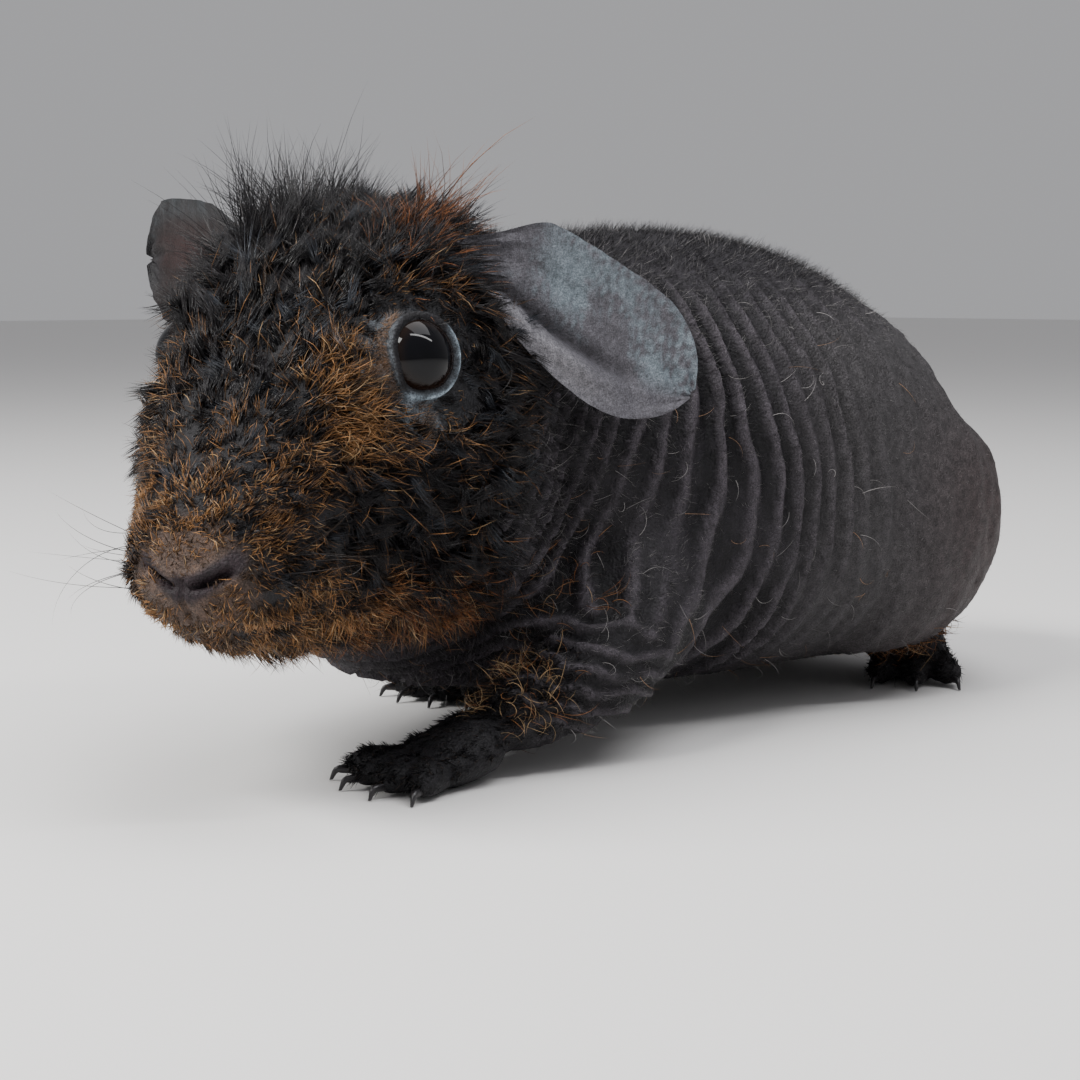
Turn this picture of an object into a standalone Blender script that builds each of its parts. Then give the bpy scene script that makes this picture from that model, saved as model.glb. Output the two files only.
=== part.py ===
# A young skinny pig (hairless guinea pig), life size, crouched with its head turned to its left.
# Metres, +Z up. The animal faces -Y, its left side is +X, and its feet rest on z = 0.
# Run with: blender --background --python part.py
import math

import bmesh
import bpy
import numpy as np
from mathutils import Matrix, Vector

# Driving dimensions
LENGTH = 0.1438  # from nose tip to rump, along the bent spine
NOSE_TIP_Y = -0.0718
HEAD_YAW = math.radians(25)  # the head turns to the animal's left
HEAD_END = 0.050  # where the head meets the neck, measured back from the nose tip
NECK_END = 0.067  # where the neck meets the torso
BEND_START = 0.038
BEND_END = 0.066
ORIGIN_SHIFT = Vector((0.0006, 0.0026, 0.0))  # brings the middle of the bounding box onto the origin
GAP = 0.0003  # clear space that touching nodes keep
COAT_DEPTH = 0.0011  # the short wiry coat of the head stands this far off the skin

# Outlines in side and plan view: (distance back from the nose tip, height or half-width)
BACK_LINE = (
    (0.000, 0.0270), (0.002, 0.0305), (0.006, 0.0362), (0.012, 0.0430), (0.020, 0.0497), (0.028, 0.0553),
    (0.036, 0.0593), (0.043, 0.0600), (0.052, 0.0577), (0.062, 0.0568), (0.074, 0.0582), (0.088, 0.0592),
    (0.102, 0.0578), (0.112, 0.0545), (0.119, 0.0500), (0.125, 0.0443), (0.131, 0.0400), (0.137, 0.0352),
    (LENGTH, 0.0290),
)
BELLY_LINE = (
    (0.000, 0.0207), (0.0015, 0.0192), (0.0035, 0.0179), (0.0065, 0.0171), (0.011, 0.0164), (0.018, 0.0159),
    (0.026, 0.0154), (0.032, 0.0136),
    (0.040, 0.0100), (0.050, 0.0070), (0.060, 0.0052), (0.072, 0.0040), (0.090, 0.0032), (0.120, 0.0032),
    (0.134, 0.0045), (LENGTH, 0.0110),
)
FLANK_LINE = (
    (0.000, 0.0056), (0.004, 0.0074), (0.008, 0.0092), (0.012, 0.0113), (0.018, 0.0146), (0.024, 0.0170),
    (0.032, 0.0186), (0.042, 0.0190), (0.050, 0.0192), (0.060, 0.0214), (0.070, 0.0248), (0.084, 0.0285),
    (0.100, 0.0305), (0.114, 0.0300), (0.126, 0.0268), (0.136, 0.0222), (LENGTH, 0.0175),
)
WIDEST_LINE = (  # height at which each section is widest
    (0.000, 0.0232), (0.006, 0.0265), (0.012, 0.0305), (0.022, 0.0340), (0.036, 0.0360), (0.050, 0.0340),
    (0.066, 0.0290), (0.090, 0.0265), (0.120, 0.0240), (LENGTH, 0.0205),
)
SQUARE_LINE = (  # how boxy the upper half of each section is, as a superellipse exponent
    (0.000, 2.10), (0.008, 2.45), (0.016, 2.80), (0.028, 2.80), (0.042, 2.30), (0.070, 2.15), (LENGTH, 2.15),
)
LOWER_SQUARE_LINE = (  # the same for the lower half
    (0.000, 1.70), (0.014, 1.75), (0.028, 1.95), (0.042, 2.25), (0.060, 2.40), (LENGTH, 2.40),
)
NOSE_ROUND = 0.0045  # length of the rounding at the nose
RUMP_ROUND = 0.0170  # length of the rounding at the rump

# Rings of the body form, as (share of the rings, distance back from the nose tip)
RING_LINE = (
    (0.000, 0.0000), (0.030, 0.0005), (0.060, 0.0019), (0.090, 0.0043), (0.375, HEAD_END), (0.510, NECK_END),
    (0.900, 0.1290), (0.950, 0.1375), (0.980, 0.1421), (1.000, LENGTH),
)
BODY_RINGS = 82
BODY_SIDES = 30

# Skin folds: crests across the body, (distance back, wavelength) and their height
FOLD_SPACING = ((0.044, 0.0050), (0.068, 0.0052), (0.085, 0.0056), (0.105, 0.0072), (LENGTH, 0.0085))
FOLD_HEIGHT = ((0.040, 0.0), (0.052, 0.0007), (0.064, 0.0008), (0.086, 0.0008), (0.108, 0.0006), (0.122, 0.0))
NECK_FOLD_LEAN = -0.32  # crests of the neck run forward and down to the throat
FLANK_FOLD_LEAN = 0.22  # crests of the flank lean forward towards the back
FOLD_LEVEL = 0.030
HIP_CREASE = 0.1255  # a deep crease before the rump
HIP_CREASE_DEPTH = 0.0026
HIP_CREASE_WIDTH = 0.0034

# Swellings and hollows of the head: (back, sideways, height, radius, push)
HEAD_RELIEF = (
    (0.0075, 0.0090, 0.0235, 0.0060, 0.0010),  # whisker pad
    (0.0155, 0.0120, 0.0370, 0.0070, -0.0009),  # hollow before the eye
    (0.0340, 0.0170, 0.0290, 0.0100, 0.0016),  # cheek
    (0.0270, 0.0110, 0.0530, 0.0060, 0.0007),  # brow
    (0.0240, 0.0160, 0.0440, 0.0060, -0.0010),  # eye socket
)

# Eyes, from the nose tip: back, sideways, height
EYE_PLACE = (0.0250, 0.0121, 0.0450)
EYE_RADIUS = 0.0046
LID_RADIUS = 0.0009
LID_OPENING = (0.0037, 0.0034)  # half-width and half-height of the opening
EYE_LOOK = Vector((0.800, -0.560, 0.160))  # the left eye looks sideways, a little forward and up

# Mouth and nose
MOUTH_FRONT = 0.0022
MOUTH_CORNER = 0.0120
MOUTH_HEIGHT = 0.0196
MOUTH_DEPTH = 0.0007

# Ears: length, breadth, thickness and how the flap lies
EAR_LENGTH = 0.0325
EAR_BREADTH = 0.0150
EAR_THICKNESS = 0.0011
EAR_ROOT = (0.0366, 0.0120, 0.0600)
RIGHT_EAR_LOWER = 0.0034  # the right ear hangs this much lower
RIGHT_EAR_DEEPER = 0.0030  # the right ear is pressed this much further into the coat
EAR_SINK = 0.0065  # how far the root curves into the head
EAR_OUTLINE = (  # share of the length, share of the full breadth
    (0.00, 0.52), (0.14, 0.58), (0.29, 0.80), (0.48, 0.95), (0.68, 1.00), (0.80, 0.93), (0.90, 0.70),
    (0.97, 0.38), (1.00, 0.10),
)
EAR_SPAN_STEPS = 16
EAR_CROSS_STEPS = 9

# Crown locks
LOCK_COUNT = 68
LOCK_LENGTH = 0.0090
LOCK_BREADTH = 0.0044
LOCK_THICKNESS = 0.0010
LOCK_SIDES = 4
LOCK_RINGS = 5
LOCK_SUNK = 0.0016
SEED = 7

COLOURS = {
    "skin": (0.040, 0.036, 0.040, 1),
    "coat": (0.050, 0.034, 0.024, 1),
    "ear": (0.105, 0.098, 0.110, 1),
    "eye": (0.008, 0.007, 0.009, 1),
    "foot": (0.022, 0.022, 0.026, 1),
}


def smooth_line(points):
    """A function through the points, with slopes that never overshoot them."""
    at, value = (np.array(column, float) for column in zip(*points))
    step = np.diff(at)
    rise = np.diff(value) / step
    slope = np.zeros_like(value)
    for i in range(1, len(value) - 1):
        if rise[i - 1] * rise[i] > 0:
            before, after = 2 * step[i] + step[i - 1], step[i] + 2 * step[i - 1]
            slope[i] = (before + after) / (before / rise[i - 1] + after / rise[i])
    slope[0], slope[-1] = rise[0], rise[-1]

    def line(x):
        x = min(max(float(x), at[0]), at[-1])
        i = min(int(np.searchsorted(at, x, side="right")) - 1, len(step) - 1)
        t = (x - at[i]) / step[i]
        return float(
            value[i] * (1 + 2 * t) * (1 - t) ** 2
            + slope[i] * step[i] * t * (1 - t) ** 2
            + value[i + 1] * t * t * (3 - 2 * t)
            - slope[i + 1] * step[i] * t * t * (1 - t)
        )

    return line


back_line = smooth_line(BACK_LINE)
belly_line = smooth_line(BELLY_LINE)
flank_line = smooth_line(FLANK_LINE)
widest_line = smooth_line(WIDEST_LINE)
square_line = smooth_line(SQUARE_LINE)
lower_square_line = smooth_line(LOWER_SQUARE_LINE)
ear_line = smooth_line(EAR_OUTLINE)
ring_line = smooth_line(RING_LINE)
fold_spacing = smooth_line(FOLD_SPACING)
fold_height = smooth_line(FOLD_HEIGHT)


def ease(x, start, end):
    """0 before start, 1 after end, and smooth between."""
    t = min(max((x - start) / (end - start), 0.0), 1.0)
    return t * t * (3 - 2 * t)


def heading(back):
    """The spine's direction in plan, as an angle from +Y."""
    return HEAD_YAW * (1 - ease(back, BEND_START, BEND_END))


def spine_table(steps=600):
    """Distance back, x and y of points along the spine. It ends on the plane x = 0."""
    back = np.linspace(0, LENGTH, steps)
    angle = np.array([heading(b) for b in back])
    step = back[1] - back[0]
    across = np.concatenate([[0], np.cumsum((np.sin(angle[1:]) + np.sin(angle[:-1])) / 2 * step)])
    along = np.concatenate([[0], np.cumsum((np.cos(angle[1:]) + np.cos(angle[:-1])) / 2 * step)])
    return back, across[-1] - across, NOSE_TIP_Y + along


SPINE = spine_table()


def place(back, sideways, height):
    """The point this far back along the spine, this far to the animal's left of it, at this height."""
    x = float(np.interp(back, SPINE[0], SPINE[1]))
    y = float(np.interp(back, SPINE[0], SPINE[2]))
    angle = heading(back)
    return Vector((x + sideways * math.cos(angle), y + sideways * math.sin(angle), height))


def fold_phase_table(steps=400):
    """Distance back against the number of folds passed."""
    back = np.linspace(0.040, LENGTH, steps)
    rate = np.array([1 / fold_spacing(b) for b in back])
    return back, np.concatenate([[0], np.cumsum(rate[1:] * np.diff(back))])


FOLD_PHASE = fold_phase_table()


def fold_push(back, height):
    """How far the skin stands out on the crest of a fold."""
    tall = fold_height(back)
    if tall <= 0 or not 0.040 < back < 0.125:
        return 0.0
    lean = NECK_FOLD_LEAN + (FLANK_FOLD_LEAN - NECK_FOLD_LEAN) * ease(back, 0.060, 0.080)
    turns = float(np.interp(back + lean * (height - FOLD_LEVEL), *FOLD_PHASE))
    fade = ease(height, 0.004, 0.012) * (1 - ease(height, 0.044, 0.055))
    return tall * fade * math.cos(2 * math.pi * turns)


def hip_push(back):
    """The crease between loin and rump, with a low roll of skin on each side."""
    away = (back - HIP_CREASE) / HIP_CREASE_WIDTH
    return -HIP_CREASE_DEPTH * math.exp(-away * away) + 0.0006 * math.exp(-((abs(away) - 2) ** 2))


def relief_push(back, sideways, height):
    """Swellings and hollows of the head at this place."""
    push = 0.0
    for at_back, at_side, at_height, radius, amount in HEAD_RELIEF:
        away = (back - at_back) ** 2 + (abs(sideways) - at_side) ** 2 + (height - at_height) ** 2
        push += amount * math.exp(-away / (radius * radius))
    return push


def body_point(back, angle, extra=0.0):
    """A point of the body's surface: angle 0 is the animal's left, and a quarter turn is its back."""
    back = min(max(back, 0.0), LENGTH)
    nose = min(back / NOSE_ROUND, 1.0)
    rump = min((LENGTH - back) / RUMP_ROUND, 1.0)
    cap = math.sqrt(1 - (1 - nose) ** 2) * math.sqrt(1 - (1 - rump) ** 2)
    middle = widest_line(back)
    c, s = math.cos(angle), math.sin(angle)
    power = 2 / (square_line(back) if s > 0 else lower_square_line(back))
    reach = back_line(back) - middle if s > 0 else middle - belly_line(back)
    sideways = flank_line(back) * cap * math.copysign(abs(c) ** power, c)
    rise = reach * cap * math.copysign(abs(s) ** power, s)
    side_in = sideways / max(flank_line(back), 1e-6) ** 2
    rise_in = rise / max(reach, 1e-6) ** 2
    size = math.hypot(side_in, rise_in) or 1.0
    push = extra + fold_push(back, middle + rise) + hip_push(back)
    if back < HEAD_END + 0.010:
        push += relief_push(back, sideways, middle + rise)
    push *= min(cap * 3, 1.0)
    return place(back, sideways + push * side_in / size, middle + rise + push * rise_in / size)


def coat_extra(back):
    """The coat's depth over the skin, which runs out over the neck."""
    return COAT_DEPTH * ease(back, -0.002, 0.018) * (1 - ease(back, 0.046, 0.060))


def collection(name):
    made = bpy.data.collections.new(name)
    bpy.context.scene.collection.children.link(made)
    return made


def material(name):
    made = bpy.data.materials.new(name)
    made.use_nodes = True
    shader = made.node_tree.nodes["Principled BSDF"]
    shader.inputs["Base Color"].default_value = COLOURS[name]
    shader.inputs["Roughness"].default_value = 0.12 if name == "eye" else 0.75
    shader.inputs["Metallic"].default_value = 0.0
    return made


def new_object(name, mesh, where):
    made = bpy.data.objects.new(name, mesh)
    where.objects.link(made)
    return made


def globe(name, rings, sides, surface, where):
    """A closed form: a UV sphere with its rings and sides carried to surface(share, angle)."""
    bm = bmesh.new()
    bmesh.ops.create_uvsphere(bm, u_segments=sides, v_segments=rings, radius=1)
    for vertex in bm.verts:
        share = math.acos(min(max(vertex.co.z, -1.0), 1.0)) / math.pi
        vertex.co = surface(share, math.atan2(vertex.co.y, vertex.co.x))
    bm.normal_update()
    bmesh.ops.recalc_face_normals(bm, faces=bm.faces)
    mesh = bpy.data.meshes.new(name)
    bm.to_mesh(mesh)
    bm.free()
    return new_object(name, mesh, where)


def applied(obj):
    """Makes the object's evaluated shape its own mesh."""
    graph = bpy.context.evaluated_depsgraph_get()
    mesh = bpy.data.meshes.new_from_object(obj.evaluated_get(graph))
    obj.modifiers.clear()
    obj.data = mesh
    return obj


def keep_largest(obj):
    """Drops every closed surface but the largest."""
    bm = bmesh.new()
    bm.from_mesh(obj.data)
    left, groups = set(bm.verts), []
    while left:
        group, edge_of = set(), [left.pop()]
        while edge_of:
            vertex = edge_of.pop()
            group.add(vertex)
            for edge in vertex.link_edges:
                other = edge.other_vert(vertex)
                if other in left:
                    left.discard(other)
                    edge_of.append(other)
        groups.append(group)

    def spread(group):
        corner = [[f(v.co[i] for v in group) for i in range(3)] for f in (min, max)]
        return math.dist(*corner)

    groups.sort(key=spread, reverse=True)
    for group in groups[1:]:
        bmesh.ops.delete(bm, geom=list(group), context="VERTS")
    bm.to_mesh(obj.data)
    bm.free()
    return obj


def joined(pieces, solver="MANIFOLD"):
    """One closed body from overlapping closed bodies. The first piece becomes it."""
    first, rest = pieces[0], pieces[1:]
    if rest:
        operands = collection(first.name + "_pieces")
        for piece in rest:
            for holder in piece.users_collection:
                holder.objects.unlink(piece)
            operands.objects.link(piece)
        modifier = first.modifiers.new("join", "BOOLEAN")
        modifier.operation = "UNION"
        modifier.operand_type = "COLLECTION"
        modifier.collection = operands
        modifier.solver = solver
        bpy.context.view_layer.update()
        applied(first)
        for piece in rest:
            bpy.data.objects.remove(piece)
        bpy.data.collections.remove(operands)
    return keep_largest(first)


def cut(obj, cutter, solver="MANIFOLD"):
    """Takes the cutter's volume out of the object."""
    modifier = obj.modifiers.new("cut", "BOOLEAN")
    modifier.operation = "DIFFERENCE"
    modifier.object = cutter
    modifier.solver = solver
    bpy.context.view_layer.update()
    applied(obj)
    return keep_largest(obj)


def room_of(obj, where):
    """A cutter that follows the object one gap clear of it."""
    made = new_object(obj.name + "_room", obj.data.copy(), where)
    bm = bmesh.new()
    bm.from_mesh(made.data)
    bm.normal_update()
    moved = [(vertex, vertex.normal * (1.6 * GAP * min(vertex.calc_shell_factor(), 1.5))) for vertex in bm.verts]
    for vertex, step in moved:
        vertex.co += step
    bm.to_mesh(made.data)
    bm.free()
    return made


def sliced(obj, back, keep_rear):
    """Cuts the object flat across the spine and closes it, half a gap clear of the plane."""
    angle = heading(back)
    along = Vector((-math.sin(angle), math.cos(angle), 0))
    side = 1 if keep_rear else -1
    point = place(back, 0, 0) + along * (GAP / 2 * side)
    bm = bmesh.new()
    bm.from_mesh(obj.data)
    found = bmesh.ops.bisect_plane(
        bm, geom=bm.verts[:] + bm.edges[:] + bm.faces[:], plane_co=point, plane_no=along * side, clear_inner=True
    )
    rim = [e for e in found["geom_cut"] if isinstance(e, bmesh.types.BMEdge)]
    bmesh.ops.edgeloop_fill(bm, edges=rim)
    bm.normal_update()
    bmesh.ops.recalc_face_normals(bm, faces=bm.faces)
    bm.to_mesh(obj.data)
    bm.free()
    return obj


def body_form(name, where, extra=0.0, coat=True):
    """The whole body from nose to rump as one closed form."""

    def surface(share, angle):
        back = ring_line(share)
        return body_point(back, angle, extra + (coat_extra(back) if coat else 0.0))

    return globe(name, BODY_RINGS, BODY_SIDES, surface, where)


def tube(name, where, stations, rings, sides, extra=0.0, bend=(0, 0, 0)):
    """A rounded limb form through (point, half-width, half-height) stations, the ends domed."""
    points = [Vector(station[0]) for station in stations]
    lengths = [0.0]
    for a, b in zip(points, points[1:]):
        lengths.append(lengths[-1] + (b - a).length)
    total = lengths[-1]
    lines = [smooth_line(list(zip(lengths, [p[i] for p in points]))) for i in range(3)]
    wide = smooth_line(list(zip(lengths, [station[1] for station in stations])))
    tall = smooth_line(list(zip(lengths, [station[2] for station in stations])))

    def surface(share, angle):
        start_dome, end_dome = tall(0) * 0.9 + extra, tall(total) * 0.9 + extra
        at = -extra + (total + 2 * extra) * (1 - math.cos(math.pi * share)) / 2
        inside = min(max(at, 0.0), total)
        centre = Vector([line(inside) for line in lines])
        ahead = Vector([line(min(inside + 0.0005, total)) - line(max(inside - 0.0005, 0)) for line in lines])
        ahead.normalize()
        centre += ahead * (at - inside)
        first, last = min((at + extra) / start_dome, 1.0), min((total + extra - at) / end_dome, 1.0)
        cap = math.sqrt(max(1 - (1 - first) ** 2, 0)) * math.sqrt(max(1 - (1 - last) ** 2, 0))
        across = ahead.cross(Vector((0, 0, 1)))
        across.normalize()
        up = across.cross(ahead)
        return (
            centre
            + across * ((wide(inside) + extra) * cap * math.cos(angle))
            + up * ((tall(inside) + extra) * cap * math.sin(angle))
        )

    return globe(name, rings, sides, surface, where)


# Limbs: stations are (point, half-width, half-height), from the root outwards, on the animal's left side.
FORE_LEFT = {
    "limb": (
        ((0.0170, -0.0050, 0.0225), 0.0080, 0.0100),
        ((0.0242, -0.0110, 0.0150), 0.0066, 0.0080),
        ((0.0245, -0.0190, 0.0104), 0.0055, 0.0056),
        ((0.0232, -0.0270, 0.0074), 0.0044, 0.0046),
        ((0.0218, -0.0330, 0.0054), 0.0042, 0.0038),
    ),
    "palm": (
        ((0.0220, -0.0318, 0.0050), 0.0042, 0.0036),
        ((0.0208, -0.0375, 0.0027), 0.0056, 0.0030),
        ((0.0200, -0.0420, 0.0018), 0.0060, 0.0024),
    ),
    "toes": 4,
    "toe_length": 0.0074,
    "ahead": Vector((-0.10, -1.0, 0.0)),
    "spread": math.radians(66),
}
FORE_RIGHT = {
    "limb": (
        ((-0.0170, 0.0180, 0.0170), 0.0072, 0.0090),
        ((-0.0185, 0.0125, 0.0120), 0.0062, 0.0074),
        ((-0.0180, 0.0060, 0.0080), 0.0050, 0.0056),
        ((-0.0170, 0.0020, 0.0056), 0.0042, 0.0038),
    ),
    "palm": (
        ((-0.0168, 0.0035, 0.0050), 0.0042, 0.0036),
        ((-0.0155, -0.0020, 0.0027), 0.0056, 0.0030),
        ((-0.0150, -0.0065, 0.0018), 0.0060, 0.0024),
    ),
    "toes": 4,
    "toe_length": 0.0074,
    "ahead": Vector((0.12, -1.0, 0.0)),
    "spread": math.radians(60),
}
HIND_LEFT = {
    "limb": (
        ((0.0140, 0.0515, 0.0300), 0.0118, 0.0138),
        ((0.0190, 0.0430, 0.0240), 0.0125, 0.0165),
        ((0.0215, 0.0330, 0.0180), 0.0105, 0.0140),
        ((0.0215, 0.0240, 0.0110), 0.0070, 0.0090),
    ),
    "shank": (
        ((0.0215, 0.0250, 0.0125), 0.0060, 0.0070),
        ((0.0175, 0.0400, 0.0120), 0.0062, 0.0066),
        ((0.0110, 0.0545, 0.0100), 0.0048, 0.0052),
    ),
    "palm": (
        ((0.0090, 0.0560, 0.0042), 0.0038, 0.0045),
        ((0.0135, 0.0515, 0.0038), 0.0044, 0.0042),
        ((0.0175, 0.0470, 0.0032), 0.0056, 0.0036),
        ((0.0190, 0.0450, 0.0026), 0.0054, 0.0030),
    ),
    "toes": 3,
    "toe_length": 0.0062,
    "ahead": Vector((0.66, -0.75, 0.0)),
    "spread": math.radians(40),
}
CLAW_LENGTH = 0.0036
CLAW_RADIUS = 0.0008
TOE_HALF_WIDTH = 0.0019
TOE_HALF_HEIGHT = 0.0019


def mirrored(limb):
    """The same limb on the other side."""

    def flip(point):
        return (-point[0], point[1], point[2])

    made = dict(limb)
    for key in ("limb", "shank", "palm"):
        made[key] = tuple((flip(p), wide, tall) for p, wide, tall in limb[key])
    made["ahead"] = Vector(flip(limb["ahead"]))
    return made


def toe_forms(limb, where):
    """Toes fan out from the front of the palm, and each ends in a claw."""
    made = []
    root, half_width, _ = limb["palm"][-1]
    ahead = limb["ahead"].normalized()
    across = ahead.cross(Vector((0, 0, 1)))
    count = limb["toes"]
    for i in range(count):
        share = i / (count - 1) * 2 - 1
        angle = share * limb["spread"] / 2
        out = ahead * math.cos(angle) + across * math.sin(angle)
        reach = limb["toe_length"] * (1 - 0.16 * share * share)
        start = Vector(root) + across * (share * half_width * 0.72) - out * 0.0016
        start.z = 0.0016
        knuckle = start + out * (reach * 0.55) + Vector((0, 0, 0.0004))
        tip = start + out * reach + Vector((0, 0, -0.0006))
        stations = (
            (start, TOE_HALF_WIDTH, TOE_HALF_HEIGHT * 1.1),
            (knuckle, TOE_HALF_WIDTH * 0.95, TOE_HALF_HEIGHT),
            (tip, TOE_HALF_WIDTH * 0.72, TOE_HALF_HEIGHT * 0.72),
        )
        made.append(tube(f"toe_{i}", where, stations, 6, 6))
        claw_root = tip - out * 0.0010 + Vector((0, 0, 0.0002))
        claw_mid = tip + out * (CLAW_LENGTH * 0.45) + Vector((0, 0, 0.0002))
        claw_tip = tip + out * CLAW_LENGTH * 0.92 - Vector((0, 0, 0.0012))
        claw_stations = (
            (claw_root, CLAW_RADIUS, CLAW_RADIUS * 1.1),
            (claw_mid, CLAW_RADIUS * 0.75, CLAW_RADIUS * 0.8),
            (claw_tip, CLAW_RADIUS * 0.25, CLAW_RADIUS * 0.25),
        )
        made.append(tube(f"claw_{i}", where, claw_stations, 4, 4))
    return made


def floor_cutter(where):
    """A slab whose top is the floor, so that the soles end flat on it."""
    bm = bmesh.new()
    bmesh.ops.create_cube(bm, size=1)
    bmesh.ops.scale(bm, vec=Vector((0.3, 0.3, 0.02)), verts=bm.verts)
    bmesh.ops.translate(bm, vec=Vector((0, 0, -0.01)), verts=bm.verts)
    mesh = bpy.data.meshes.new("floor_cutter")
    bm.to_mesh(mesh)
    bm.free()
    made = new_object("floor_cutter", mesh, where)
    made.hide_render = True
    made.display_type = "WIRE"
    return made


def lock(name, root, out, lean, length, turn, where):
    """A flat, tapered lock that leaves the skin along out and bends over towards lean."""
    across = out.cross(lean)
    across.normalize()
    flat = Matrix.Rotation(turn, 3, out) @ across
    thick = out.cross(flat)
    thick.normalize()

    def surface(share, angle):
        along = -LOCK_SUNK + (length + LOCK_SUNK) * share
        bend = max(along, 0) / length
        centre = root + out * (along - 0.25 * length * bend * bend) + lean * (0.55 * length * bend * bend)
        taper = math.sin(math.pi * min(share * 1.25 + 0.12, 1) ** 0.8) ** 0.6 if share < 0.999 else 0
        body = max(taper, 0.12 if 0 < share < 0.999 else 0)
        return (
            centre
            + flat * (LOCK_BREADTH / 2 * body * math.cos(angle))
            + thick * (LOCK_THICKNESS / 2 * body * math.sin(angle))
        )

    return globe(name, LOCK_RINGS, LOCK_SIDES, surface, where)


def skin_out(back, angle):
    """The outward direction of the body's surface."""
    here = body_point(back, angle)
    along = body_point(back + 0.0006, angle) - body_point(back - 0.0006, angle)
    round_it = body_point(back, angle + 0.03) - body_point(back, angle - 0.03)
    out = round_it.cross(along)
    out.normalize()
    if out.dot(here - place(back, 0, widest_line(back))) < 0:
        out.negate()
    return out


def crown_locks(where):
    """Locks over the crown and nape, longest in a crest by each ear root, most of all the right one."""
    draw = np.random.default_rng(SEED)
    made = []
    for i in range(LOCK_COUNT):
        share = (i + 0.5) / LOCK_COUNT
        back = 0.0225 + 0.0260 * share + draw.uniform(-0.0012, 0.0012)
        swing = math.radians(54) * (2 * ((i * 0.61803) % 1) - 1)
        degrees = math.degrees(swing)
        if abs(degrees) > 36 and back > 0.029:
            continue
        right_crest = math.exp(-(((degrees + 22) / 14) ** 2)) * ease(back, 0.024, 0.034)
        left_crest = 0.55 * math.exp(-(((degrees - 24) / 12) ** 2)) * ease(back, 0.028, 0.037)
        length = LOCK_LENGTH * (0.46 + 0.54 * max(right_crest, left_crest)) * draw.uniform(0.88, 1.1)
        angle = math.pi / 2 - swing
        out = skin_out(back, angle)
        root = body_point(back, angle, coat_extra(back))
        rear = place(back + 0.001, 0, 0) - place(back - 0.001, 0, 0)
        rear.normalize()
        lean = rear + Vector((draw.uniform(-0.45, 0.45), draw.uniform(-0.3, 0.3), 0.1))
        lean -= out * lean.dot(out)
        lean.normalize()
        rise = (out * (0.36 + 0.44 * max(right_crest, left_crest)) + lean * 0.80).normalized()
        made.append(lock(f"lock_{i}", root, rise, lean, length, draw.uniform(-0.45, 0.45), where))
    return made


def eye_centre(side):
    back, sideways, height = EYE_PLACE
    return place(back, side * sideways, height)


def eye_axes(side):
    """Outward, forward and upward directions of the eye, with the head's turn applied."""
    look = Vector((side * EYE_LOOK.x, EYE_LOOK.y, EYE_LOOK.z)).normalized()
    look = Matrix.Rotation(HEAD_YAW, 3, "Z") @ look
    ahead = Vector((math.sin(HEAD_YAW), -math.cos(HEAD_YAW), 0))
    ahead = (ahead - look * ahead.dot(look)).normalized()
    up = ahead.cross(look) if side < 0 else look.cross(ahead)
    if up.z < 0:
        up.negate()
    return look, ahead, up


def eyeball(name, side, where, extra=0.0, sides=14, rings=9):
    centre = eye_centre(side)
    look, ahead, up = eye_axes(side)

    def surface(share, angle):
        radius = EYE_RADIUS + extra
        ring = radius * math.sin(math.pi * share)
        return centre + look * (radius * math.cos(math.pi * share)) + ahead * (ring * math.cos(angle)) + up * (
            ring * math.sin(angle)
        )

    return globe(name, rings, sides, surface, where)


def ring_form(name, centre_line, radius, steps, sides, where):
    """A closed ring of round section round the centre line, as a converted curve."""
    curve = bpy.data.curves.new(name, "CURVE")
    curve.dimensions = "3D"
    curve.bevel_depth = radius
    curve.bevel_resolution = max(sides // 2 - 2, 0)
    spline = curve.splines.new("POLY")
    spline.points.add(steps - 1)
    for i in range(steps):
        spline.points[i].co = (*centre_line(i / steps), 1)
    spline.use_cyclic_u = True
    holder = new_object(name + "_curve", curve, where)
    bpy.context.view_layer.update()
    mesh = bpy.data.meshes.new_from_object(holder.evaluated_get(bpy.context.evaluated_depsgraph_get()))
    bm = bmesh.new()
    bm.from_mesh(mesh)
    bmesh.ops.remove_doubles(bm, verts=bm.verts, dist=1e-6)
    bm.normal_update()
    bmesh.ops.recalc_face_normals(bm, faces=bm.faces)
    bm.to_mesh(mesh)
    bm.free()
    bpy.data.objects.remove(holder)
    return new_object(name, mesh, where)


def lid_ring(side, where):
    """The rims of both lids as one almond-shaped ring on the eyeball."""
    centre = eye_centre(side)
    look, ahead, up = eye_axes(side)

    def centre_line(turn):
        angle = 2 * math.pi * turn
        along = LID_OPENING[0] * math.cos(angle)
        over = LID_OPENING[1] * math.sin(angle) * (1 - 0.12 * math.cos(angle))
        flat = ahead * along + up * over
        out = math.sqrt(max((EYE_RADIUS + 0.0004) ** 2 - flat.length_squared, 0))
        return centre + flat + look * out

    return ring_form(f"lid_{side}", centre_line, LID_RADIUS, 18, 6, where)


def bead(name, centre, axes, where, rings=6, sides=8):
    """An ellipsoid with the given half-axes."""

    def surface(share, angle):
        ring = math.sin(math.pi * share)
        return (
            Vector(centre)
            + axes[0] * math.cos(math.pi * share)
            + axes[1] * (ring * math.cos(angle))
            + axes[2] * (ring * math.sin(angle))
        )

    return globe(name, rings, sides, surface, where)


def nostril_cutter(side, where):
    """A slanted slit of a nostril, higher at its outer end."""
    turn = Matrix.Rotation(HEAD_YAW, 3, "Z")
    long_way = turn @ Vector((side * 0.0014, 0.0004, 0.0008))
    short_way = turn @ Vector((-side * 0.00025, 0, 0.0006))
    deep_way = turn @ Vector((-side * 0.0003, 0.0019, 0.0))
    return bead(f"nostril_{side}", place(0.0006, side * 0.0030, 0.0248), (long_way, short_way, deep_way), where)


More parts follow.
